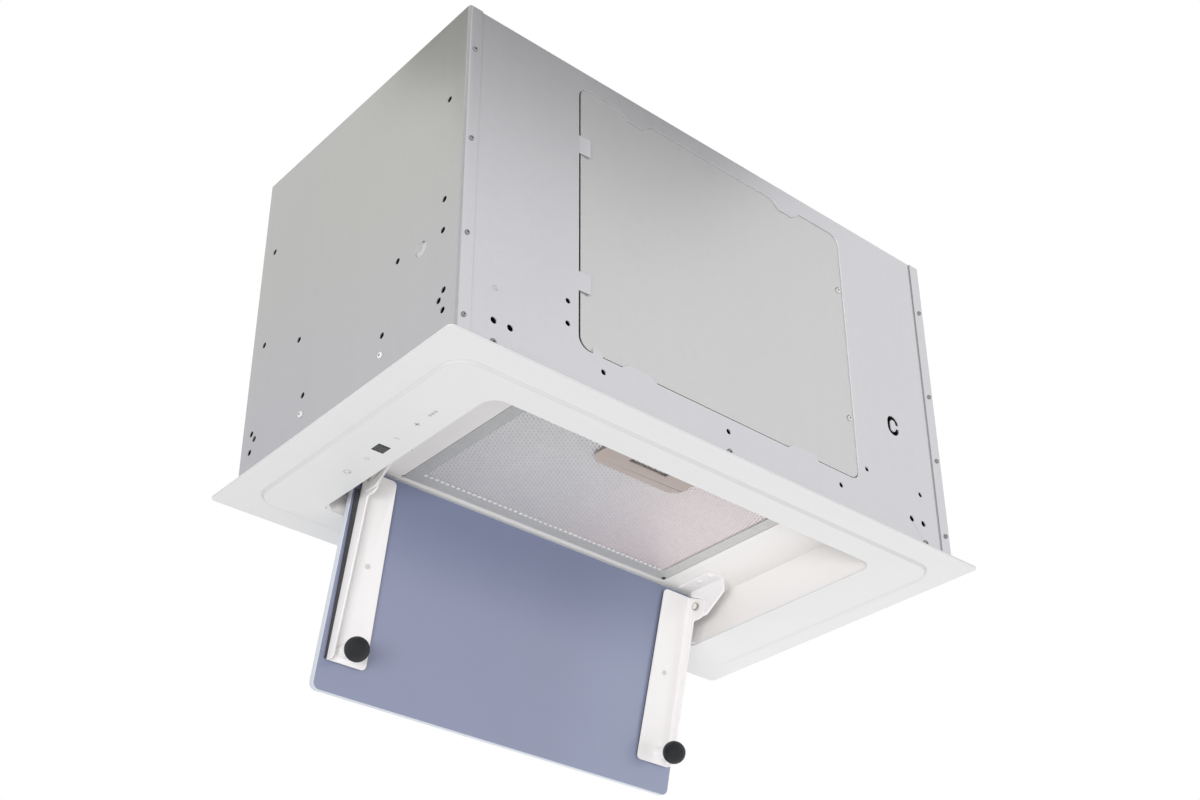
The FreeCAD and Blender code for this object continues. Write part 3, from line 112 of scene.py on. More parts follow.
# %% World
AMBIENT, GROUND = 0.5, 1.0
world = bpy.data.worlds.new("studio")
scene.world = world
world.use_nodes = True
sky = world.node_tree
soft_light = sky.nodes["Background"]
soft_light.inputs["Color"].default_value = WHITE
soft_light.inputs["Strength"].default_value = AMBIENT
ground = put(sky, "ShaderNodeBackground", {"Color": WHITE, "Strength": GROUND})
path = put(sky, "ShaderNodeLightPath")
seen = put(sky, "ShaderNodeMath", {0: path.outputs["Is Camera Ray"], 1: path.outputs["Is Glossy Ray"]},
           operation="ADD")
shown = put(sky, "ShaderNodeMath", {0: seen.outputs[0], 1: path.outputs["Is Transmission Ray"]},
            operation="ADD", use_clamp=True)
both = put(sky, "ShaderNodeMixShader", {0: shown.outputs[0], 1: soft_light.outputs[0], 2: ground.outputs[0]})
sky.links.new(both.outputs[0], sky.nodes["World Output"].inputs["Surface"])
print("world:", world.name)

# %% Floor
FLOOR_LEVEL, FLOOR_SIZE = -1.6, 20
FLOOR_COLOUR, FLOOR_ROUGH = (0.86, 0.86, 0.86, 1), 0.9
bpy.ops.mesh.primitive_plane_add(size=FLOOR_SIZE, location=(0, 0, FLOOR_LEVEL))
floor = bpy.context.object
floor.name = "studio_floor"
floor_paint = bpy.data.materials.new("floor_paint")
floor_paint.use_nodes = True
floor_tree = floor_paint.node_tree
floor_shader = floor_tree.nodes["Principled BSDF"]
floor_shader.inputs["Base Color"].default_value = FLOOR_COLOUR
floor_shader.inputs["Roughness"].default_value = FLOOR_ROUGH
card_paint = floor_paint.copy()
mirrored = put(floor_tree, "ShaderNodeLightPath").outputs["Is Glossy Ray"]
glow = put(floor_tree, "ShaderNodeEmission", {"Color": WHITE, "Strength": GROUND})
floor_mix = put(floor_tree, "ShaderNodeMixShader",
                {0: mirrored, 1: floor_shader.outputs[0], 2: glow.outputs[0]})
floor_tree.links.new(floor_mix.outputs[0], floor_tree.nodes["Material Output"].inputs["Surface"])
floor.data.materials.append(floor_paint)
print("floor at", FLOOR_LEVEL)

# %% [markdown]
# ## Lamps
# The light in the photograph comes from low at the front left: it reaches the right wall of the recess
# and leaves its left end in shade. One large softbox does that, a second one below opens up the
# underside, a weak one at the right keeps that end of the body from going dark, and one high at the front
# is there to be mirrored in the front panel. The upper part of the sheet metal mirrors a dark ceiling, so
# a dark card hangs above, where only reflections find it.

# %% Lamps
# Each lamp has its place, its aim, its width and height, its power, and whether reflections show it.
LAMPS = {
    "key_softbox": ((-1.58, -1.16, -0.70), (-0.08, -0.06, 0.25), (1.0, 0.55), 25.2, False),
    "floor_softbox": ((0.50, 0.45, -0.80), (0.20, 0.15, 0.10), (1.2, 0.72), 4.4, False),
    "side_softbox": ((1.2, -0.9, -0.4), (0.1, 0, 0.02), (0.9, 0.9), 4, False),
    "front_softbox": ((1.5, -1.6, 1.0), (0.1, -0.1, 0.1), (1.8, 1.8), 1.4, True),
}
for name, (place, aim, (wide, high), power, in_mirrors) in LAMPS.items():
    bpy.ops.object.light_add(type="AREA", location=place)
    lamp = bpy.context.object
    lamp.name = name
    lamp.rotation_euler = (Vector(aim) - Vector(place)).to_track_quat("-Z", "Y").to_euler()
    lamp.data.shape = "RECTANGLE"
    lamp.data.size, lamp.data.size_y = wide, high
    lamp.data.energy = power
    lamp.visible_camera = False
    lamp.visible_glossy = in_mirrors
print("lamps:", list(LAMPS))

# %% Ceiling card
CARD_PLACE, CARD_SIZE, CARD_COLOUR = (0, -0.12, 1.5), 2.25, (0.05, 0.05, 0.05, 1)
bpy.ops.mesh.primitive_plane_add(size=CARD_SIZE, location=CARD_PLACE)
card = bpy.context.object
card.name = "ceiling_card"
card_paint.node_tree.nodes["Principled BSDF"].inputs["Base Color"].default_value = CARD_COLOUR
card.data.materials.append(card_paint)
card.visible_camera = card.visible_diffuse = card.visible_shadow = card.visible_transmission = False
print("card at", CARD_PLACE)

# %% [markdown]
# ## Shared surface effects
# Three effects turn up on many finishes, so each is a node group that is built once. Rolled sheet has
# streaks along the rolling direction and faint zinc crystals. A sprayed or moulded skin has a mottle and
# a fine pebble. Handling leaves broad, faint smudges. The groups give masks and a height, and the
# material decides what they do.

# %% Group maker
def new_group(title, inputs, outputs):
    tree = bpy.data.node_groups.new(title, "ShaderNodeTree")
    for name, kind, value in inputs:
        tree.interface.new_socket(name, in_out="INPUT", socket_type=kind).default_value = value
    for name in outputs:
        tree.interface.new_socket(name, in_out="OUTPUT", socket_type="NodeSocketFloat")
    return tree, put(tree, "NodeGroupInput").outputs, put(tree, "NodeGroupOutput").inputs


def object_place(tree):
    return put(tree, "ShaderNodeTexCoord").outputs["Object"]


print("group maker ready")

# %% Rolled sheet group
ALONG, CRYSTALS = (25, 25, 1), 160.0
rolled_sheet, given, result = new_group(
    "rolled_sheet",
    [("Along", "NodeSocketVector", ALONG), ("Crystal Scale", "NodeSocketFloat", CRYSTALS)],
    ["Streak", "Crystal"])
stretched = put(rolled_sheet, "ShaderNodeVectorMath", {0: object_place(rolled_sheet), 1: given["Along"]},
                operation="MULTIPLY")
streak = put(rolled_sheet, "ShaderNodeTexNoise",
             {"Vector": stretched.outputs[0], "Scale": 4.0, "Detail": 1.0, "Roughness": 0.4})
crystal = put(rolled_sheet, "ShaderNodeTexVoronoi",
              {"Vector": object_place(rolled_sheet), "Scale": given["Crystal Scale"], "Randomness": 1.0})
grey = put(rolled_sheet, "ShaderNodeSeparateColor", {0: crystal.outputs["Color"]})
rolled_sheet.links.new(streak.outputs[0], result["Streak"])
rolled_sheet.links.new(grey.outputs[0], result["Crystal"])
print("group:", rolled_sheet.name, [s.name for s in rolled_sheet.interface.items_tree])

# %% Pebbled skin group
PEBBLES = 900.0
pebbled_skin, given, result = new_group(
    "pebbled_skin", [("Pebble Scale", "NodeSocketFloat", PEBBLES)], ["Mottle", "Height"])
place = object_place(pebbled_skin)
pebble = put(pebbled_skin, "ShaderNodeTexNoise",
             {"Vector": place, "Scale": given["Pebble Scale"], "Detail": 2.0, "Roughness": 0.5})
cloud = put(pebbled_skin, "ShaderNodeTexNoise",
            {"Vector": place, "Scale": 22.0, "Detail": 3.0, "Roughness": 0.55})
pebbled_skin.links.new(cloud.outputs[0], result["Mottle"])
pebbled_skin.links.new(pebble.outputs[0], result["Height"])
print("group:", pebbled_skin.name)

# %% Handling group
SMUDGES, SMUDGE_FROM, SMUDGE_FULL = 9.0, 0.42, 0.72
handling, given, result = new_group(
    "handling", [("Smudge Scale", "NodeSocketFloat", SMUDGES)], ["Smudge"])
wisp = put(handling, "ShaderNodeTexNoise",
           {"Vector": object_place(handling), "Scale": given["Smudge Scale"], "Detail": 2.0,
            "Roughness": 0.5, "Distortion": 0.8})
lifted = put(handling, "ShaderNodeMapRange",
             {VALUE: wisp.outputs[0], FROM_MIN: SMUDGE_FROM, FROM_MAX: SMUDGE_FULL,
              TO_MIN: 0.0, TO_MAX: 1.0})
handling.links.new(lifted.outputs[0], result["Smudge"])
print("group:", handling.name)

# %% [markdown]
# ## Two families of finish
# Nearly every part of the hood is either bare sheet metal or a coated or moulded skin. A function for
# each family places the shared groups and links them to colour, roughness and bump. Values that are the
# same all over are set straight on the shader. The light in the photograph changes slowly across some
# parts, and a finish can follow it with a drift of its colour along one axis.

# %% Steps of a finish
def blank(title, **constants):
    material = bpy.data.materials.new(title)
    material.use_nodes = True
    shader = material.node_tree.nodes["Principled BSDF"]
    for name, value in constants.items():
        shader.inputs[name.replace("_", " ")].default_value = value
    return material, material.node_tree, shader


def placed(tree, group, **values):
    item = put(tree, "ShaderNodeGroup", node_tree=group)
    for name, value in values.items():
        item.inputs[name.replace("_", " ")].default_value = value
    return item.outputs


def between(tree, mask, low, high):
    return put(tree, "ShaderNodeMix", {0: mask, MIX_A: (*low, 1), MIX_B: (*high, 1)},
               data_type="RGBA").outputs[MIX_OUT]


def level(tree, mask, low, high):
    return put(tree, "ShaderNodeMapRange",
               {VALUE: mask, FROM_MIN: 0.0, FROM_MAX: 1.0, TO_MIN: low, TO_MAX: high}).outputs[0]


def raised(tree, shader, height, strength, depth):
    bump = put(tree, "ShaderNodeBump", {"Strength": strength, "Distance": depth * MM, "Height": height})
    tree.links.new(bump.outputs[0], shader.inputs["Normal"])


def tint(colour, share):
    return tuple(c * share for c in colour)


print("steps of a finish ready")

# %% Drift of colour
def drift(material, axis, start, end, colour):
    """Multiplies a finish's colour by another one, from not at all at the start to fully at the end."""
    tree = material.node_tree
    spot = put(tree, "ShaderNodeSeparateXYZ", {0: object_place(tree)}).outputs[axis]
    mask = put(tree, "ShaderNodeMapRange",
               {VALUE: spot, FROM_MIN: start * MM, FROM_MAX: end * MM, TO_MIN: 0.0, TO_MAX: 1.0},
               interpolation_type="SMOOTHSTEP").outputs[0]
    target = tree.nodes["Principled BSDF"].inputs["Base Color"]
    shade = put(tree, "ShaderNodeMix", {0: mask, MIX_A: target.links[0].from_socket, MIX_B: (*colour, 1)},
                data_type="RGBA", blend_type="MULTIPLY")
    tree.links.new(shade.outputs[MIX_OUT], target)


print("drift ready")

# %% Finish makers
ROUGH_SHARE, SMUDGE_SHARE = 0.04, 0.08
SHEET_BUMP, SKIN_BUMP = 0.25, 0.35


def sheet_metal(title, colour, rough, metal=0.8, along=ALONG, crystal=CRYSTALS, depth=0.02, contrast=0.1):
    material, tree, shader = blank(title, Metallic=metal)
    sheet = placed(tree, rolled_sheet, Along=along, Crystal_Scale=crystal)
    hands = placed(tree, handling)
    streaks = between(tree, sheet["Streak"], tint(colour, 1 - contrast), tint(colour, 1 + contrast))
    spangle = put(tree, "ShaderNodeMix",
                  {0: sheet["Crystal"], MIX_A: streaks, MIX_B: (*tint(colour, 1 + contrast / 2), 1)},
                  data_type="RGBA")
    tree.links.new(spangle.outputs[MIX_OUT], shader.inputs["Base Color"])
    grain = level(tree, sheet["Streak"], rough * (1 - ROUGH_SHARE), rough * (1 + ROUGH_SHARE))
    gloss = put(tree, "ShaderNodeMath", {0: hands["Smudge"], 1: rough * SMUDGE_SHARE, 2: grain},
                operation="MULTIPLY_ADD")
    tree.links.new(gloss.outputs[0], shader.inputs["Roughness"])
    raised(tree, shader, sheet["Streak"], SHEET_BUMP, depth)
    return material


def skin(title, colour, rough, pebble=PEBBLES, depth=0.03, contrast=0.03, wiped=0.07, **constants):
    material, tree, shader = blank(title, **constants)
    coat = placed(tree, pebbled_skin, Pebble_Scale=pebble)
    hands = placed(tree, handling)
    tone = between(tree, coat["Mottle"], tint(colour, 1 - contrast), tint(colour, 1 + contrast))
    tree.links.new(tone, shader.inputs["Base Color"])
    tree.links.new(level(tree, hands["Smudge"], rough, rough + wiped), shader.inputs["Roughness"])
    raised(tree, shader, coat["Height"], SKIN_BUMP, depth)
    return material


def paint(material, *names):
    for name in names:
        nodes[name].data.materials.clear()
        nodes[name].data.materials.append(material)


print("finish makers ready")

# %% [markdown]
# ## Sheet metal of the body
# The casing is hot-dipped zinc sheet: grey, slightly satin, with fine streaks from the rolling mill that
# run up the panels. The sides are painted darker than the front, and the front cooler, as painted light
# and reflection for the ways they face; the service cover, cut from another coil, is a little duller. So
# each gets its own tone of the same finish. Bends and sheared edges are duller still, and have finishes
# of their own: the bends are painted darker, as painted shade, and the sheared edges come in painted lit
# and shaded tones.

# %% Zinc panels
EVEN = {"depth": 0.004, "contrast": 0.025}
zinc_side_shaded = sheet_metal("zinc_side_shaded", (0.48, 0.48, 0.492), 0.235, metal=0.65, **EVEN)
# painted shade: the side panels darken towards the rear and turn yellower towards the top
drift(zinc_side_shaded, "Y", -60, 100, (0.955, 0.955, 0.985))
drift(zinc_side_shaded, "Z", 20, 230, (1.0, 1.0, 0.92))
# painted light and reflection: the front is paler and cooler than the sides
zinc_front_lit = sheet_metal("zinc_front_lit", (0.60, 0.60, 0.625), 0.235, metal=0.65, **EVEN)
zinc_cover = sheet_metal("zinc_cover", (0.58, 0.58, 0.58), 0.24, metal=0.55, along=(20, 20, 1), **EVEN)
zinc_top = sheet_metal("zinc_top", (0.62, 0.62, 0.63), 0.45, metal=0.3, depth=0.004, contrast=0.04)
zinc_inside = sheet_metal("zinc_inside", (0.55, 0.56, 0.57), 0.42, metal=0.85, along=(3, 90, 90))
paint(zinc_side_shaded, "left_side_panel", "right_side_panel")
paint(zinc_top, "rear_panel", "top_panel")
paint(zinc_front_lit, "front_panel")
paint(zinc_cover, "service_cover")
paint(zinc_inside, "blower_scroll", "blower_side_left", "blower_side_right", "inlet_ring_left",
      "inlet_ring_right", "motor_bracket", "filter_seat")
print("zinc:", zinc_side_shaded.name, zinc_front_lit.name, zinc_cover.name, zinc_top.name, zinc_inside.name)

# %% Zinc bends and edges
SHEARED = {"metal": 0.05, "along": (40, 40, 40)}
# painted shade: faces across a bend are a darker zinc
zinc_bend_shade = sheet_metal("zinc_bend_shade", (0.40, 0.40, 0.41), 0.5, metal=0.3, depth=0.004, contrast=0.15)
zinc_edge = sheet_metal("zinc_edge", (0.58, 0.58, 0.59), 0.6, contrast=0.08, **SHEARED)
# painted shade for down-facing sheared edges; the drift lightens it towards the right as painted light
zinc_shade = sheet_metal("zinc_shade", (0.42, 0.42, 0.43), 0.6, contrast=0.08, **SHEARED)
drift(zinc_shade, "X", -70, 90, (1.7, 1.7, 1.7))
# painted highlight for the sheared edge at the window's right edge
zinc_edge_highlight = sheet_metal("zinc_edge_highlight", (0.88, 0.88, 0.89), 0.6, contrast=0.05, **SHEARED)
print("edges:", zinc_bend_shade.name, zinc_edge.name, zinc_shade.name, zinc_edge_highlight.name)

# %% [markdown]
# ## White coats
# The flange, the recess and the arms are steel with a baked white coat. Such a coat is never quite
# smooth: it has a fine orange-peel. The recess and the arms are painted warmer and brighter than the
# flange, as painted warm light, and the rivets are painted grey, as painted shade round their heads.

# %% White finishes
BAKED = {"depth": 0.02, "contrast": 0.015}
fascia_white = skin("fascia_white", (0.785, 0.785, 0.785), 0.38, pebble=700.0, **BAKED)
# painted warm light: the recess is warmer and brighter than the flange
tray_white = skin("tray_white", (0.90, 0.88, 0.86), 0.42, pebble=700.0, **BAKED)
# painted warm light: the arms are a warm, pinkish white
arm_white = skin("arm_white", (0.92, 0.90, 0.90), 0.36, pebble=800.0, **BAKED)
# painted shade: the rivets are grey where shade lies round their heads
rivet_shade = skin("rivet_shade", (0.66, 0.64, 0.64), 0.4, pebble=1200.0)
paint(fascia_white, "fascia_frame")
paint(tray_white, "recess_tray")
paint(arm_white, "hinge_arm_left", "hinge_arm_right", "hinge_bracket_left", "hinge_bracket_right",
      "bracket_screws", "bumper_stem_left", "bumper_stem_right")
paint(rivet_shade, "arm_rivets")
print("white:", fascia_white.name, tray_white.name, arm_white.name, rivet_shade.name)

# %% [markdown]
# ## Grease filter and its latch
# The filter's frame is a rolled aluminium channel, and its mesh is bright expanded foil. The frame is
# painted darker towards its left end, as painted shade, and the foil lighter and pinker to the right, as
# painted light. The latch is a plate of brownish plastic. The tongue behind its finger slot is painted
# paler, as painted light against the shade of the slot.

# %% Filter finishes
filter_aluminium = sheet_metal("filter_aluminium", (0.585, 0.58, 0.565), 0.42, metal=0.2, along=(3, 80, 80),
                               crystal=400.0)
# painted shade: the frame darkens towards its left end
drift(filter_aluminium, "X", -100, -130, (0.90, 0.91, 0.91))
mesh_aluminium = sheet_metal("mesh_aluminium", (0.84, 0.83, 0.83), 0.4, metal=0.3, along=(200, 200, 200),
                             crystal=350.0)
# painted light: the foil turns lighter and pinker to the right
drift(mesh_aluminium, "X", -60, 90, (1.1, 1.03, 1.03))
latch_plastic = skin("latch_plastic", (0.51, 0.437, 0.40), 0.5, pebble=1500.0)
# painted light: the tongue is pale against the shade of its slot
latch_tongue = skin("latch_tongue", (0.85, 0.75, 0.70), 0.5, pebble=1500.0)
paint(filter_aluminium, "filter_frame", "lamp_housing")
paint(mesh_aluminium, "filter_mesh")
paint(latch_plastic, "latch_plate")
paint(latch_tongue, "latch_slider")
print("filter:", filter_aluminium.name, mesh_aluminium.name, latch_plastic.name, latch_tongue.name)

# %% [markdown]
# ## Panel, rubber, plastics and steel
# The rest are small areas: blue-grey glass, black rubber, the blower's plastic, the motor's paint and the
# boxes. They use the same two families with their own colours and grain.

# %% Panel, balls and screws
FINE = {"along": (300, 300, 300), "crystal": 900.0}
panel_glass = skin("panel_glass", (0.263, 0.288, 0.415), 0.32, pebble=300.0, depth=0.002, contrast=0.02,
                   wiped=0.02, Coat_Weight=0.3, Coat_Roughness=0.1)
# painted shade and light: the blue-grey darkens towards the top edge and lightens to the right
drift(panel_glass, "Z", -60, 25, (0.72, 0.75, 0.80))
drift(panel_glass, "X", 30, 130, (1.10, 1.12, 1.09))
ball_rubber = skin("ball_rubber", (0.017, 0.018, 0.02), 0.5, pebble=1800.0, Specular_IOR_Level=0.3)
# painted shadow: the foam pads are near black so that they read as the shadow gap under the arms
pad_foam = skin("pad_foam", (0.06, 0.06, 0.065), 0.9, pebble=2200.0, depth=0.1)
screw_steel = sheet_metal("screw_steel", (0.72, 0.71, 0.70), 0.31, metal=1.0, **FINE)
screw_dull = sheet_metal("screw_dull", (0.34, 0.34, 0.35), 0.42, metal=0.8, **FINE)
# painted highlight: the pale head of the side panels' screws
screw_highlight = sheet_metal("screw_highlight", (0.88, 0.87, 0.86), 0.4, metal=0.2, **FINE)
# painted shade: the dark rim round those heads
screw_rim_shade = sheet_metal("screw_rim_shade", (0.10, 0.10, 0.10), 0.5, metal=0.5, **FINE)
# painted shade: every cross recess is near black
screw_recess_shade = skin("screw_recess_shade", (0.035, 0.035, 0.035), 0.6, pebble=2500.0)
paint(panel_glass, "drop_panel")
paint(ball_rubber, "bumper_ball_left", "bumper_ball_right")
paint(pad_foam, "arm_pad_left", "arm_pad_right")
paint(screw_steel, "service_cover_screws", "front_lap_screws", "rear_lap_screws", "fascia_screws",
      "side_panel_screws", "hinge_pin_left", "hinge_pin_right", "motor_shaft", "collar_screws",
      "damper_pin_front", "damper_pin_rear")
print("finishes so far:", len(bpy.data.materials))

# %% Boxes, blower and lamp
display_black = skin("display_black", (0.02, 0.022, 0.02), 0.35, Coat_Weight=0.1)
board_green = skin("board_green", (0.03, 0.14, 0.06), 0.45)
lamp_diffuser = skin("lamp_diffuser", (0.83, 0.83, 0.80), 0.35, pebble=1500.0, depth=0.05)
wheel_plastic = skin("wheel_plastic", (0.06, 0.062, 0.066), 0.45, pebble=1200.0)
motor_paint = skin("motor_paint", (0.10, 0.105, 0.11), 0.4, pebble=800.0)
capacitor_plastic = skin("capacitor_plastic", (0.75, 0.75, 0.72), 0.4)
box_plastic = skin("box_plastic", (0.02, 0.02, 0.022), 0.55, pebble=1300.0)
collar_plastic = skin("collar_plastic", (0.16, 0.165, 0.17), 0.48, pebble=1300.0)
paint(display_black, "display_window")
paint(board_green, "touch_board")
paint(lamp_diffuser, "lamp_lens")
paint(wheel_plastic, "blower_wheel")
paint(motor_paint, "motor_can")
paint(capacitor_plastic, "motor_capacitor")
paint(box_plastic, "control_box", "terminal_box")
paint(collar_plastic, "duct_collar", "collar_flange", "damper_flap_front", "damper_flap_rear")
print("finishes:", len(bpy.data.materials))

# %% [markdown]
# ## Tools for modelling
# The pieces below are modelled as by hand: a primitive is added at its size, and faces are picked by
# where they lie or point, then inset, extruded or bevelled. These helpers pick faces, copy a mesh, apply
# a modifier and hand a piece over to the body that carries it.

# %% Picking helpers
SQUARE_ON = 0.9


def only(piece):
    bpy.ops.object.select_all(action="DESELECT")
    piece.select_set(True)
    bpy.context.view_layer.objects.active = piece


def pick(piece, test):
    """Goes into edit mode with the faces selected whose middle and normal pass the test."""
    bpy.ops.object.mode_set(mode="EDIT")
    bpy.ops.mesh.select_mode(type="FACE")
    bpy.ops.mesh.select_all(action="DESELECT")
    bpy.ops.object.mode_set(mode="OBJECT")
    for face in piece.data.polygons:
        face.select = test(face.center, face.normal)
    bpy.ops.object.mode_set(mode="EDIT")


def faces_down(middle, normal):
    return normal.z < -SQUARE_ON


def done(piece):
    bpy.ops.object.mode_set(mode="OBJECT")
    only(piece)
    bpy.ops.object.transform_apply(location=True, rotation=True, scale=True)


print("picking helpers ready")

# %% Making helpers
def block(name, low, high):
    middle, size = (Vector(low) + Vector(high)) / 2, Vector(high) - Vector(low)
    bpy.ops.object.select_all(action="DESELECT")
    bpy.ops.mesh.primitive_cube_add(size=1, location=middle, scale=size)
    bpy.context.object.name = name
    bpy.ops.object.transform_apply(location=True, rotation=True, scale=True)
    return bpy.context.object


def copied(name, source):
    copy = bpy.data.objects.new(name, source.data.copy())
    scene.collection.objects.link(copy)
    only(copy)
    return copy


def modified(piece, kind, **settings):
    only(piece)
    change = piece.modifiers.new(kind.lower(), kind)
    for name, value in settings.items():
        setattr(change, name, value)
    bpy.ops.object.modifier_apply(modifier=change.name)


def joined(name, pieces):
    only(pieces[0])
    for piece in pieces:
        piece.select_set(True)
    if len(pieces) > 1:
        bpy.ops.object.join()
    pieces[0].name = pieces[0].data.name = name
    return pieces[0]


def hand_over(piece, body, slot, *replaced):
    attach(piece, body)
    if replaced:
        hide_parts(*replaced)
    print(piece.name, "on", body, "with", len(piece.data.polygons), "faces")


print("making helpers ready")

# %% [markdown]
# ## Screws
# The sheets are held by small pan-head screws with a cross recess. One is modelled upright: a cylinder
# whose rim is rounded, with a shank drawn out below and a tapered cross cut into the top. Every screw of
# the model is a copy of it, set where the solid screws sit and turned by a different amount, as fitters
# leave them.

# %% One screw
SCREW_POINTS = 32
SCREW_RADIUS, SCREW_HIGH, SCREW_SHANK, SCREW_LENGTH = 2.6 * MM, 1.2 * MM, 1.5 * MM, 4.5 * MM
HEAD_ROUND, TIP_ROUND = 0.7 * SCREW_HIGH, 0.3 * MM
bpy.ops.object.select_all(action="DESELECT")
bpy.ops.mesh.primitive_cylinder_add(vertices=SCREW_POINTS, radius=SCREW_RADIUS, depth=SCREW_HIGH,
                                    location=(0, 0, SCREW_HIGH / 2))
screw = bpy.context.object
screw.name = "screw_master"
bpy.ops.object.transform_apply(location=True)
pick(screw, lambda middle, normal: normal.z > SQUARE_ON)
bpy.ops.mesh.bevel(offset=HEAD_ROUND, segments=4, affect="EDGES")
pick(screw, faces_down)
bpy.ops.mesh.inset(thickness=SCREW_RADIUS - SCREW_SHANK)
bpy.ops.mesh.extrude_region_move(TRANSFORM_OT_translate={"value": (0, 0, -SCREW_LENGTH)})
bpy.ops.mesh.bevel(offset=TIP_ROUND, segments=2, affect="EDGES")
done(screw)
print("screw without its recess:", len(screw.data.polygons), "faces")

# %% Cross recess
ARM_LONG, ARM_WIDE, ARM_DEEP, ARM_TAPER = 1.6 * MM, 0.42 * MM, 0.9 * MM, 0.55
SUNK_BELOW, RIM_FACING = 0.97 * SCREW_HIGH, 0.8
SMOOTH = math.radians(35)
HEAD, RECESS, RIM = range(3)
STEEL_SCREW = (screw_steel, screw_recess_shade, screw_steel)
arms = []
for long, wide in ((ARM_LONG, ARM_WIDE), (ARM_WIDE, ARM_LONG)):
    arm = block("recess_arm", (-long, -wide, SCREW_HIGH - ARM_DEEP), (long, wide, 2 * SCREW_HIGH))
    pick(arm, faces_down)
    bpy.ops.transform.resize(value=(ARM_TAPER, ARM_TAPER, 1))
    done(arm)
    arms.append(arm)
cross = joined("recess_cutter", arms)
modified(screw, "BOOLEAN", object=cross, operation="DIFFERENCE", solver="EXACT", use_self=True)
bpy.data.objects.remove(cross)
only(screw)
bpy.ops.object.shade_smooth_by_angle(angle=SMOOTH)
for finish in STEEL_SCREW:
    screw.data.materials.append(finish)
for face in screw.data.polygons:
    sunk = 0 < face.center.z < SUNK_BELOW and face.center.xy.length < ARM_LONG
    on_rim = face.center.z > 0 and face.normal.z < RIM_FACING
    face.material_index = RECESS if sunk else RIM if on_rim else HEAD
print("screw faces:", len(screw.data.polygons))

# %% Where the screws sit
MERGE, SORT_DIGITS = 0.001 * MM, 4


def solids_of(name):
    """The lowest and highest corners of each separate solid in a CAD node."""
    copied("measured", nodes[name])
    bpy.ops.object.mode_set(mode="EDIT")
    bpy.ops.mesh.select_all(action="SELECT")
    bpy.ops.mesh.remove_doubles(threshold=MERGE)
    bpy.ops.mesh.separate(type="LOOSE")
    bpy.ops.object.mode_set(mode="OBJECT")
    boxes = []
    for part in bpy.context.selected_objects:
        spots = [corner.co for corner in part.data.vertices]
        low = Vector([min(spot[i] for spot in spots) for i in range(3)])
        high = Vector([max(spot[i] for spot in spots) for i in range(3)])
        boxes.append((low, high))
        bpy.data.objects.remove(part)
    return sorted(boxes, key=lambda ends: tuple(round(v, SORT_DIGITS) for v in ends[0]))


print("bracket screws:", len(solids_of("bracket_screws")))

# %% Copies of the screw
TURN_STEP = 37
DULL_SCREW = (screw_dull, screw_recess_shade, screw_dull)
# The side panels' screws get a painted highlight on the head and a painted shade on the rim.
BRIGHT_SCREW = (screw_highlight, screw_recess_shade, screw_rim_shade)
WHITE_SCREW = (arm_white, arm_white, arm_white)


def screws_for(name, slot, facing, finishes):
    """Sets a copy on each solid screw of a node, with finishes for the head, the recess and the rim."""
    copies = []
    for k, (low, high) in enumerate(solids_of(name)):
        middle, size = (low + high) / 2, high - low
        out = Vector(facing(middle))
        axis = max(range(3), key=lambda i: abs(out[i]))
        outer = middle + out * size[axis] / 2
        share = max(size[i] for i in range(3) if i != axis) / (2 * SCREW_RADIUS)
        copy = copied("screw_copy", screw)
        copy.location = outer - out * SCREW_HIGH
        copy.rotation_mode = "QUATERNION"
        copy.rotation_quaternion = out.to_track_quat("Z", "Y")
        copy.scale = (share, share, 1)
        done(copy)
        bpy.ops.transform.rotate(value=math.radians(TURN_STEP * k), orient_axis="XYZ"[axis],
                                 center_override=outer)
        done(copy)
        copies.append(copy)
    piece = joined(name + "_heads", copies)
    for k, finish in enumerate(finishes):
        piece.data.materials[k] = finish
    hand_over(piece, "hood", slot, name)


screws_for("front_lap_screws", "screw_steel", lambda middle: (0, -1, 0), DULL_SCREW)
screws_for("rear_lap_screws", "screw_steel", lambda middle: (0, 1, 0), DULL_SCREW)
screws_for("service_cover_screws", "screw_steel", lambda middle: (0, -1, 0), STEEL_SCREW)
screws_for("fascia_screws", "screw_steel", lambda middle: (0, math.copysign(1, middle.y), 0), DULL_SCREW)
screws_for("side_panel_screws", "screw_steel", lambda middle: (math.copysign(1, middle.x), 0, 0),
           BRIGHT_SCREW)
screws_for("bracket_screws", "arm_white", lambda middle: (0, 0, -1), WHITE_SCREW)
screws_for("collar_screws", "screw_steel", lambda middle: (0, 0, 1), STEEL_SCREW)
bpy.data.objects.remove(screw)

# %% [markdown]
# ## Filter mesh
# The grease filter is a pack of expanded aluminium foil: slit and stretched sheet, whose holes are long
# diamonds. A square grid, turned by an eighth and stretched, gives the diamonds. It is laid at a slant,
# trimmed to the frame's opening, and every cell is inset and drawn inwards, so that strands are left with
# real holes between them. A second layer lies behind, half a cell further on. The rest of the pack is one
# block, with a rough finish, and a corner of it is notched, where the frame's strip is folded. The block
# is painted darker than the foil, as painted shade inside the pack, and lighter to the right, as painted
# light.

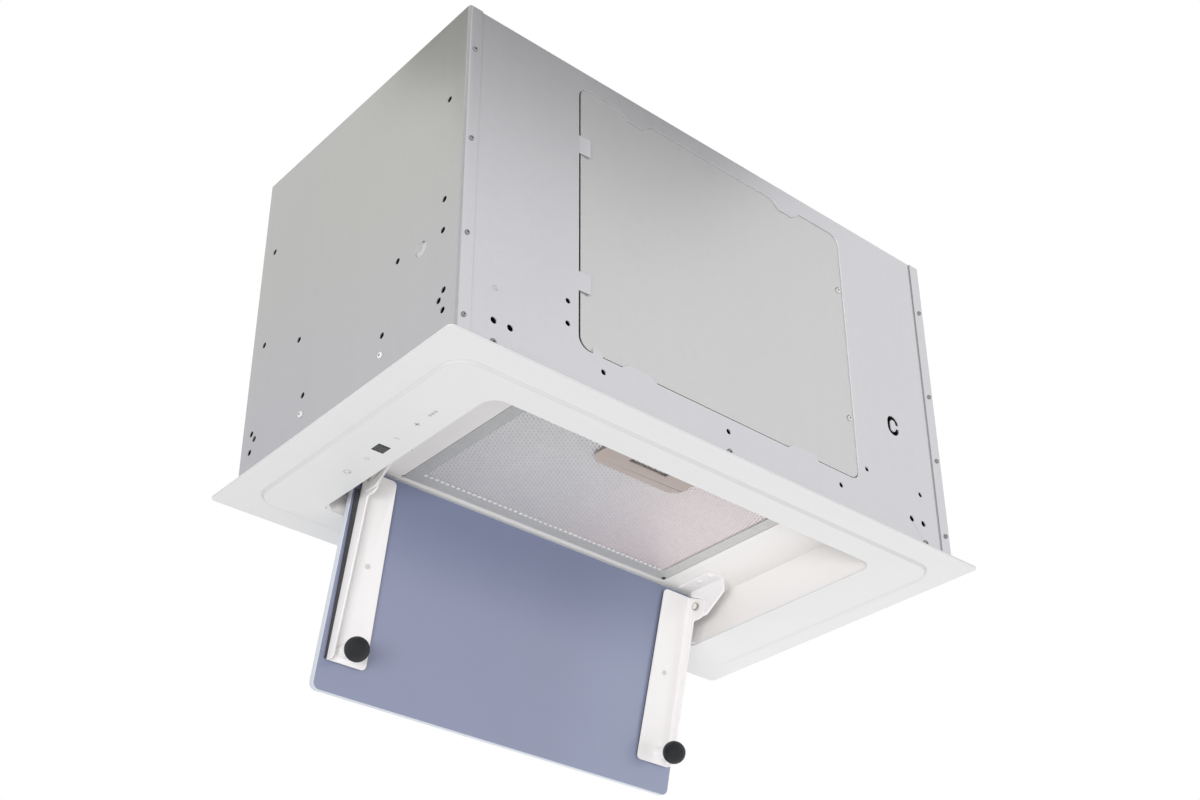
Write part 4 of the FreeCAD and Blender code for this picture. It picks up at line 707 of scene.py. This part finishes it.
# %% Expanded foil
LONG_WAY, SHORT_WAY, SLANT = 8.6 * MM, 3.1 * MM, math.radians(50)
STRAND, FOIL = 0.36 * MM, 0.4 * MM
FRAME_BAND = Vector((9.4, 9.4, 0)) * MM
pack_low, pack_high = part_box("filter_mesh")
net_low, net_high = pack_low + FRAME_BAND, pack_high - FRAME_BAND
cell_width = LONG_WAY * SHORT_WAY / math.hypot(LONG_WAY, SHORT_WAY)
cells = 2 * math.ceil((net_high - net_low).xy.length / 2 / cell_width)
bpy.ops.object.select_all(action="DESELECT")
bpy.ops.mesh.primitive_grid_add(x_subdivisions=cells, y_subdivisions=cells, size=cells,
                                rotation=(math.pi, 0, math.pi / 4))
net = bpy.context.object
done(net)
net.location.z = pack_low.z
net.scale = (LONG_WAY / math.sqrt(2), SHORT_WAY / math.sqrt(2), 1)
net.rotation_euler.z = SLANT
done(net)
bpy.ops.object.mode_set(mode="EDIT")
for spot, away in ((net_low, (-1, 0, 0)), (net_low, (0, -1, 0)),
                   (net_high, (1, 0, 0)), (net_high, (0, 1, 0))):
    bpy.ops.mesh.select_all(action="SELECT")
    bpy.ops.mesh.bisect(plane_co=spot, plane_no=away, clear_outer=True)
bpy.ops.mesh.select_all(action="SELECT")
bpy.ops.mesh.inset(thickness=STRAND, use_individual=True)
bpy.ops.mesh.extrude_region_move(TRANSFORM_OT_translate={"value": (0, 0, FOIL)})
bpy.ops.mesh.delete(type="FACE")
bpy.ops.object.mode_set(mode="OBJECT")
net.data.materials.append(mesh_aluminium)
print("net faces:", len(net.data.polygons))

# %% Rest of the pack
SECOND_GAP, LAYER_GAP, CORE_ROUND = 0.6 * MM, 1.6 * MM, 0.4 * MM
NOTCH, BEYOND = Vector((3.4, 3.4, 20)) * MM, Vector((4, 4, 20)) * MM
# painted shade: the block seen through the holes is darker than the foil; the drift lightens it to the right
# as painted light
mesh_shade = sheet_metal("mesh_shade", (0.64, 0.63, 0.64), 0.5, metal=0.3, along=(260, 260, 260),
                         crystal=420.0, depth=0.3, contrast=0.2)
drift(mesh_shade, "X", -60, 90, (1.3, 1.2, 1.2))
second_net = copied("second_net", net)
second_net.location = (LONG_WAY / 2 * math.cos(SLANT), LONG_WAY / 2 * math.sin(SLANT), SECOND_GAP)
done(second_net)
core = block("mesh_core", pack_low + Vector((0, 0, LAYER_GAP)), pack_high)
modified(core, "BEVEL", width=CORE_ROUND, segments=2, limit_method="ANGLE")
notch = block("corner_notch", pack_high - NOTCH, pack_high + BEYOND)
modified(core, "BOOLEAN", object=notch, operation="DIFFERENCE", solver="EXACT")
core.data.materials.append(mesh_shade)
pack = joined("filter_mesh_net", [net, second_net, core])
hand_over(pack, "hood", "mesh_aluminium", "filter_mesh")

# %% [markdown]
# ## Crimps of the filter frame
# Along its rear edge the frame is crimped over the foil by a row of small tongues, painted much paler
# than the frame as a painted highlight along the edge. One is modelled from a block with its lower face
# drawn in and rounded, and copied along the edge.

# %% Crimps
CRIMP_LONG, CRIMP_DEEP, CRIMP_HIGH, CRIMP_STEP = 3.6 * MM, 2.6 * MM, 0.8 * MM, 5.2 * MM
CRIMP_INSET, CRIMP_DROP, CRIMP_ROUND = 0.5 * MM, CRIMP_HIGH / 4, 0.35 * MM
CRIMP_SMOOTH = math.radians(50)
frame_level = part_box("filter_frame")[0].z
crimp = block("crimp_master", (-CRIMP_LONG / 2, net_high.y - CRIMP_DEEP, frame_level),
              (CRIMP_LONG / 2, net_high.y, frame_level + CRIMP_HIGH))
pick(crimp, faces_down)
bpy.ops.mesh.inset(thickness=CRIMP_INSET)
bpy.ops.transform.translate(value=(0, 0, -CRIMP_DROP))
done(crimp)
modified(crimp, "BEVEL", width=CRIMP_ROUND, segments=1, limit_method="ANGLE")
bpy.ops.object.shade_smooth_by_angle(angle=CRIMP_SMOOTH)
crimps = []
for k in range(int((net_high.x - net_low.x) / CRIMP_STEP)):
    copy = copied("crimp_copy", crimp)
    copy.location.x = net_low.x + (k + 0.5) * CRIMP_STEP
    done(copy)
    crimps.append(copy)
bpy.data.objects.remove(crimp)
crimp_row = joined("filter_crimps", crimps)
# painted highlight: the crimps are much paler than the frame
crimp_highlight = sheet_metal("crimp_highlight", (0.86, 0.86, 0.85), 0.35, metal=0.3, along=(90, 90, 90),
                           crystal=500.0)
crimp_row.data.materials.append(crimp_highlight)
hand_over(crimp_row, "hood", "filter_aluminium")

# %% [markdown]
# ## Drop panel
# The panel is a sheet of toughened glass, coated blue-grey on the inside. Its ground edge catches the
# light as a pale line. A copy of the solid is merged, its edges are ground to a small round, and the rim
# gets a paler finish than the faces.

# %% Ground copies
FLAT_WITHIN, EDGE_FROM, FLAT_KEPT = math.radians(0.3), math.radians(40), math.radians(20)


def ground_copy(name, width, segments=2):
    """A copy of a CAD node with its flat faces made whole and its edges rounded."""
    copy = copied(name + "_dressed", nodes[name])
    bpy.ops.mesh.customdata_custom_splitnormals_clear()
    bpy.ops.object.mode_set(mode="EDIT")
    bpy.ops.mesh.select_all(action="SELECT")
    bpy.ops.mesh.remove_doubles(threshold=MERGE)
    bpy.ops.mesh.dissolve_limited(angle_limit=FLAT_WITHIN)
    bpy.ops.object.mode_set(mode="OBJECT")
    modified(copy, "BEVEL", width=width, segments=segments, limit_method="ANGLE", angle_limit=EDGE_FROM,
             use_clamp_overlap=False)
    bpy.ops.object.shade_smooth_by_angle(angle=FLAT_KEPT)
    return copy


print("ground copies ready")

# %% Glass panel
GLASS_ROUND, GLASS_FACE = 0.5 * MM, 0.95
glass_edge = skin("glass_edge", (0.66, 0.70, 0.76), 0.35, pebble=1200.0)
panel = ground_copy("drop_panel", GLASS_ROUND)
panel.data.materials.append(glass_edge)
face_normal = max(panel.data.polygons, key=lambda face: face.area).normal.copy()
for face in panel.data.polygons:
    face.material_index = 0 if abs(face.normal.dot(face_normal)) > GLASS_FACE else 1
hand_over(panel, body_of["drop_panel"], "panel_glass", "drop_panel")

# %% [markdown]
# ## Arms, brackets and frame
# Pressed sheet is never sharp: a coat of paint or a rolled edge rounds it by a few tenths of a
# millimetre, and that round is what draws the fine bright lines in the photograph. The visible sheet
# parts get the same ground copy as the glass, with a round that suits each. The filter's frame is notched
# like its pack.

# %% Rounded sheet parts
# Each part has its node, its slot and its round in millimetres.
ROUNDED = (
    ("hinge_arm_left", "arm_white", 0.35),
    ("hinge_arm_right", "arm_white", 0.35),
    ("hinge_bracket_left", "arm_white", 0.35),
    ("hinge_bracket_right", "arm_white", 0.35),
    ("filter_frame", "filter_aluminium", 0.3),
    ("latch_plate", "latch_plastic", 0.3),
    ("latch_slider", "latch_plastic", 0.25),
)
for name, slot, width in ROUNDED:
    piece = ground_copy(name, width * MM)
    if name == "filter_frame":
        modified(piece, "BOOLEAN", object=notch, operation="DIFFERENCE", solver="EXACT")
    hand_over(piece, body_of[name], slot, name)
bpy.data.objects.remove(notch)

# %% [markdown]
# ## Hinge pins
# Each arm turns on a shouldered pin whose end is riveted over. Its head and a sunk ring are painted a
# brownish dark, as painted shade, round a raised middle painted pale, as a painted highlight. The solid
# pin's end face is inset and sunk for the ring, then inset and raised again.

# %% Riveted pin ends
RING_WIDE, RING_DEEP, WASH_WIDE, DOME_HIGH = 0.5 * MM, 0.5 * MM, 0.8 * MM, 0.4 * MM
PIN_ROUND, HEAD_DEEP, END_NEAR = 0.25 * MM, 1.5 * MM, 0.1 * MM
PIN_SHADE_INDEX, PIN_HIGHLIGHT_INDEX = 1, 2
# painted shade on the head and ring, painted highlight on the raised middle
pin_shade = skin("pin_shade", (0.22, 0.165, 0.12), 0.5, pebble=1500.0)
pin_highlight = sheet_metal("pin_highlight", (0.88, 0.85, 0.81), 0.4, metal=0.2, **FINE)
for name, towards in (("hinge_pin_left", 1), ("hinge_pin_right", -1)):
    pin = ground_copy(name, PIN_ROUND)
    end = max(corner.co.x * towards for corner in pin.data.vertices)
    pin.data.materials.append(pin_shade)
    pin.data.materials.append(pin_highlight)
    for face in pin.data.polygons:
        face.material_index = PIN_SHADE_INDEX if face.center.x * towards > end - HEAD_DEEP else 0
    pick(pin, lambda middle, normal: normal.x * towards > SQUARE_ON and middle.x * towards > end - END_NEAR)
    bpy.ops.mesh.inset(thickness=RING_WIDE)
    bpy.ops.mesh.extrude_region_move(TRANSFORM_OT_translate={"value": (-towards * RING_DEEP, 0, 0)})
    bpy.ops.mesh.inset(thickness=WASH_WIDE)
    bpy.ops.mesh.extrude_region_move(TRANSFORM_OT_translate={"value": (towards * DOME_HIGH, 0, 0)})
    pin.active_material_index = PIN_HIGHLIGHT_INDEX
    bpy.ops.object.material_slot_assign()
    bpy.ops.object.mode_set(mode="OBJECT")
    bpy.ops.object.shade_smooth_by_angle(angle=FLAT_KEPT)
    hand_over(pin, body_of[name], "screw_steel", name)

# %% [markdown]
# ## Side panels
# The casing's sheets get the same small round at their edges. Faces that lie across a bend are painted a
# darker zinc, as painted shade. The laps face forward or back like the front panel, so they take its
# painted paler, cooler tone. Each side also has one round dimple, where a tool pressed the sheet: it is
# drawn narrower than in the solid, and its floor is pressed out again to a low dome. The dome's faces that
# turn towards the low front light get the pale edge finish, as a painted highlight.

# %% Stake mark
DIMPLE_Y, DIMPLE_Z, DIMPLE_REACH, DIMPLE_SHARE = -92 * MM, 98.7 * MM, 10.4 * MM, 0.66
FLOOR_NEAR = 1 * MM
STAKE_STEPS = ((1.5 * MM, 0.45 * MM), (1.7 * MM, 0.25 * MM))
# painted highlight: dome faces turned towards the low front light get the pale edge finish
HIGHLIGHT_TOWARDS, HIGHLIGHT_FROM, FACING_OUT = Vector((0, -0.55, -0.83)), 0.02, 0.5


def pick_corners(piece, test):
    """Goes into edit mode with the corners selected that pass the test."""
    only(piece)
    bpy.ops.object.mode_set(mode="EDIT")
    bpy.ops.mesh.select_mode(type="VERT")
    bpy.ops.mesh.select_all(action="DESELECT")
    bpy.ops.object.mode_set(mode="OBJECT")
    for corner in piece.data.vertices:
        corner.select = test(corner.co)
    bpy.ops.object.mode_set(mode="EDIT")


def off_centre(spot):
    return math.hypot(spot.y - DIMPLE_Y, spot.z - DIMPLE_Z)


def press_stake(piece, side):
    pick_corners(piece, lambda spot: off_centre(spot) < DIMPLE_REACH)
    bpy.ops.transform.resize(value=(1, DIMPLE_SHARE, DIMPLE_SHARE), center_override=(0, DIMPLE_Y, DIMPLE_Z))
    bpy.ops.object.mode_set(mode="OBJECT")
    pick(piece, lambda middle, normal: normal.x * side > SQUARE_ON and off_centre(middle) < FLOOR_NEAR)
    for width, height in STAKE_STEPS:
        bpy.ops.mesh.inset(thickness=width)
        bpy.ops.transform.translate(value=(side * height, 0, 0))
    bpy.ops.object.mode_set(mode="OBJECT")
    piece.data.materials.append(zinc_edge)
    for face in piece.data.polygons:
        inside = off_centre(face.center) < DIMPLE_REACH * DIMPLE_SHARE and face.normal.x * side > FACING_OUT
        if inside and face.normal.dot(HIGHLIGHT_TOWARDS) > HIGHLIGHT_FROM:
            face.material_index = len(piece.data.materials) - 1


print("stake mark at", DIMPLE_Y, DIMPLE_Z)

# %% Side panels
SIDE_ROUND, LAP_FACING, BEND_FACING = 0.15 * MM, 0.9, 0.25
LAP, BEND = 1, 2
for name, side in (("left_side_panel", -1), ("right_side_panel", 1)):
    piece = ground_copy(name, SIDE_ROUND, segments=1)
    piece.data.materials.append(zinc_front_lit)
    piece.data.materials.append(zinc_bend_shade)
    for face in piece.data.polygons:
        forward, sideways = abs(face.normal.y), abs(face.normal.x)
        # painted light on the laps, painted shade on faces across a bend
        if forward > LAP_FACING:
            face.material_index = LAP
        elif min(forward, sideways) > BEND_FACING:
            face.material_index = BEND
    press_stake(piece, side)
    hand_over(piece, "hood", "zinc_sheet", name)

# %% [markdown]
# ## Front panel and cover
# The cover lies in the front panel's window, behind two tabs at the window's left edge, which are set a
# little forward to let it slide in. A sheared edge is bare metal, pale where it catches the light. At the
# window's right edge it is painted brighter, as a painted highlight, and where it faces down it is painted
# dark, as painted shade that lightens towards the right. The floor of the small pip in the sheet gets the
# pale edge finish too, as a painted highlight.

# %% Tabs of the window
TAB_ROOT, TAB_END, TAB_FORWARD, TAB_NEAR = -143 * MM, -132.5 * MM, -0.8 * MM, 0.1 * MM
cover_low, cover_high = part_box("service_cover")
WINDOW_MIDDLE, WINDOW_HALF = (cover_low.z + cover_high.z) / 2, 100 * MM


def lift_tabs(piece):
    only(piece)
    bpy.ops.object.mode_set(mode="EDIT")
    bpy.ops.mesh.select_all(action="SELECT")
    bpy.ops.mesh.bisect(plane_co=(TAB_ROOT, 0, 0), plane_no=(1, 0, 0))
    bpy.ops.object.mode_set(mode="OBJECT")
    pick_corners(piece, lambda spot: (TAB_ROOT + TAB_NEAR < spot.x < TAB_END
                                      and abs(spot.z - WINDOW_MIDDLE) < WINDOW_HALF))
    bpy.ops.transform.translate(value=(0, TAB_FORWARD, 0))
    bpy.ops.object.mode_set(mode="OBJECT")


print("window's middle at", WINDOW_MIDDLE)

# %% Front panel and cover
FRONT_ROUND, EDGE_NEAR, EDGE_FACING = 0.12 * MM, 4 * MM, 0.5
PIP_AREA = 30 * MM * MM
BARE_AND_HIGHLIGHT, SHADED, LIT = 1, 2, 3
for name, slot in (("front_panel", "zinc_sheet"), ("service_cover", "cover_sheet")):
    piece = ground_copy(name, FRONT_ROUND, segments=1)
    if name == "front_panel":
        lift_tabs(piece)
    for finish in (zinc_edge, zinc_shade, zinc_edge_highlight):
        piece.data.materials.append(finish)
    # The window's right edge and the pip floor get painted highlights, and down-facing edges a painted
    # shade.
    for face in piece.data.polygons:
        if face.normal.x < -EDGE_FACING and abs(face.center.x - cover_high.x) < EDGE_NEAR:
            face.material_index = LIT
        elif face.normal.y < -SQUARE_ON and face.area < PIP_AREA:
            face.material_index = BARE_AND_HIGHLIGHT
        elif abs(face.normal.y) < BEND_FACING:
            face.material_index = SHADED if face.normal.z < -BEND_FACING else BARE_AND_HIGHLIGHT
    hand_over(piece, "hood", slot, name)

# %% [markdown]
# ## Fascia
# The flange is pressed from one sheet, with a low step all round the raised middle. Its edges are rounded
# by the coat, and the slanted faces of the step are painted a darker grey, as painted shade.

# %% Fascia step
FASCIA_ROUND, STEP_NEAR = 0.3 * MM, 0.1 * MM
STEP_FLATTEST, STEP_STEEPEST = 0.95, 0.2
fascia = ground_copy("fascia_frame", FASCIA_ROUND, segments=1)
# painted shade: the step's slanted faces are a darker grey than the flange
fascia_step_shade = skin("fascia_step_shade", (0.66, 0.66, 0.66), 0.45, pebble=700.0, depth=0.02, contrast=0.02)
fascia.data.materials.append(fascia_step_shade)
raised_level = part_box("fascia_frame")[0].z
for face in fascia.data.polygons:
    slanted = STEP_STEEPEST < -face.normal.z < STEP_FLATTEST
    face.material_index = 1 if slanted and raised_level - STEP_NEAR < face.center.z < 0 else 0
hand_over(fascia, "hood", "fascia_white", "fascia_frame")

# %% [markdown]
# ## Touch marks
# The left end of the flange carries the controls: faint grey marks printed on the white, with a small
# dark display between them. The marks are plain signs of no maker: a ring with a bar, a minus, a plus,
# three dots and a lamp. Each is a thin flat shape, a printing's height proud of the coat.

# %% Printed shapes
PRINT, PRINT_EDGE, RING_POINTS = 0.04 * MM, 0.02 * MM, 24


def bar(x, y, long, wide):
    half = Vector((long / 2, wide / 2, 0))
    spot = Vector((x, y, raised_level))
    piece = block("mark_bar", spot - half - Vector((0, 0, PRINT)), spot + half)
    pick(piece, faces_down)
    bpy.ops.mesh.inset(thickness=PRINT_EDGE)
    done(piece)
    return piece


def ring(x, y, radius, line=None):
    """A ring with a line of the given width, or a full dot without one."""
    bpy.ops.object.select_all(action="DESELECT")
    bpy.ops.mesh.primitive_circle_add(vertices=RING_POINTS, radius=radius, fill_type="NGON",
                                      location=(x, y, raised_level), rotation=(math.pi, 0, 0))
    piece = bpy.context.object
    done(piece)
    bpy.ops.object.mode_set(mode="EDIT")
    bpy.ops.mesh.select_all(action="SELECT")
    if line:
        bpy.ops.mesh.inset(thickness=line)
        bpy.ops.mesh.delete(type="FACE")
        bpy.ops.mesh.select_all(action="SELECT")
    bpy.ops.mesh.extrude_region_move(TRANSFORM_OT_translate={"value": (0, 0, -PRINT)})
    done(piece)
    return piece


print("printed shapes ready")

# %% Printed marks
MARK_X = -209 * MM
DOTS_Y, PLUS_Y, MINUS_Y, LAMP_Y, POWER_Y = -59.7 * MM, -41.3 * MM, -16.7 * MM, 20.4 * MM, 45.1 * MM
DOT_RADIUS, DOT_STEP = 1.4 * MM, 3.2 * MM
PLUS_LONG, PLUS_WIDE = 4.8 * MM, 1.1 * MM
MINUS_LONG, MINUS_WIDE = 4.4 * MM, 0.9 * MM
BULB_RADIUS, BULB_LINE, CAP_OFF, CAP_LONG, CAP_WIDE = 1.6 * MM, 0.5 * MM, 2.6 * MM, 1.0 * MM, 0.6 * MM
POWER_RADIUS, POWER_LINE = 2.9 * MM, 0.8 * MM
STROKE_OFF, STROKE_LONG, STROKE_WIDE = 2.2 * MM, 2.8 * MM, 0.9 * MM
mark_grey = skin("mark_grey", (0.50, 0.50, 0.51), 0.45, pebble=1500.0)
marks = [ring(MARK_X, DOTS_Y + k * DOT_STEP, DOT_RADIUS) for k in (-1, 0, 1)]
marks.append(bar(MARK_X, PLUS_Y, PLUS_LONG, PLUS_WIDE))
marks.append(bar(MARK_X, PLUS_Y, PLUS_WIDE, PLUS_LONG))
marks.append(bar(MARK_X, MINUS_Y, MINUS_LONG, MINUS_WIDE))
marks.append(ring(MARK_X, LAMP_Y, BULB_RADIUS, BULB_LINE))
marks.append(bar(MARK_X + CAP_OFF, LAMP_Y, CAP_LONG, CAP_WIDE))
marks.append(ring(MARK_X, POWER_Y, POWER_RADIUS, POWER_LINE))
marks.append(bar(MARK_X + STROKE_OFF, POWER_Y, STROKE_LONG, STROKE_WIDE))
touch_marks = joined("touch_marks", marks)
touch_marks.data.materials.append(mark_grey)
hand_over(touch_marks, "hood", "fascia_white")

# %% [markdown]
# ## Display
# The display is off. Behind its dark window the unlit segments of two figures still show, a little paler
# than the ground. Each figure is seven short bars, printed like the marks.

# %% Unlit segments
SEGMENT_LONG, SEGMENT_WIDE, FIGURE_STEP = 2.1 * MM, 0.75 * MM, 4.4 * MM
ACROSS_STEP, UPRIGHT_X, UPRIGHT_Y = 1.25 * SEGMENT_LONG, 0.7 * SEGMENT_LONG, 0.62 * SEGMENT_LONG
window_low, window_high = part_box("display_window")
window = (window_low + window_high) / 2
segment_grey = skin("segment_grey", (0.10, 0.115, 0.095), 0.4, pebble=1500.0)
segments = []
for figure_x in (window.x - FIGURE_STEP / 2, window.x + FIGURE_STEP / 2):
    for row in (-1, 0, 1):
        segments.append(bar(figure_x, window.y + row * ACROSS_STEP, SEGMENT_LONG, SEGMENT_WIDE))
    for upright_x in (figure_x - UPRIGHT_X, figure_x + UPRIGHT_X):
        for upright_y in (window.y - UPRIGHT_Y, window.y + UPRIGHT_Y):
            segments.append(bar(upright_x, upright_y, SEGMENT_WIDE, SEGMENT_LONG))
display_segments = joined("display_segments", segments)
display_segments.data.materials.append(segment_grey)
hand_over(display_segments, "hood", "display_black")
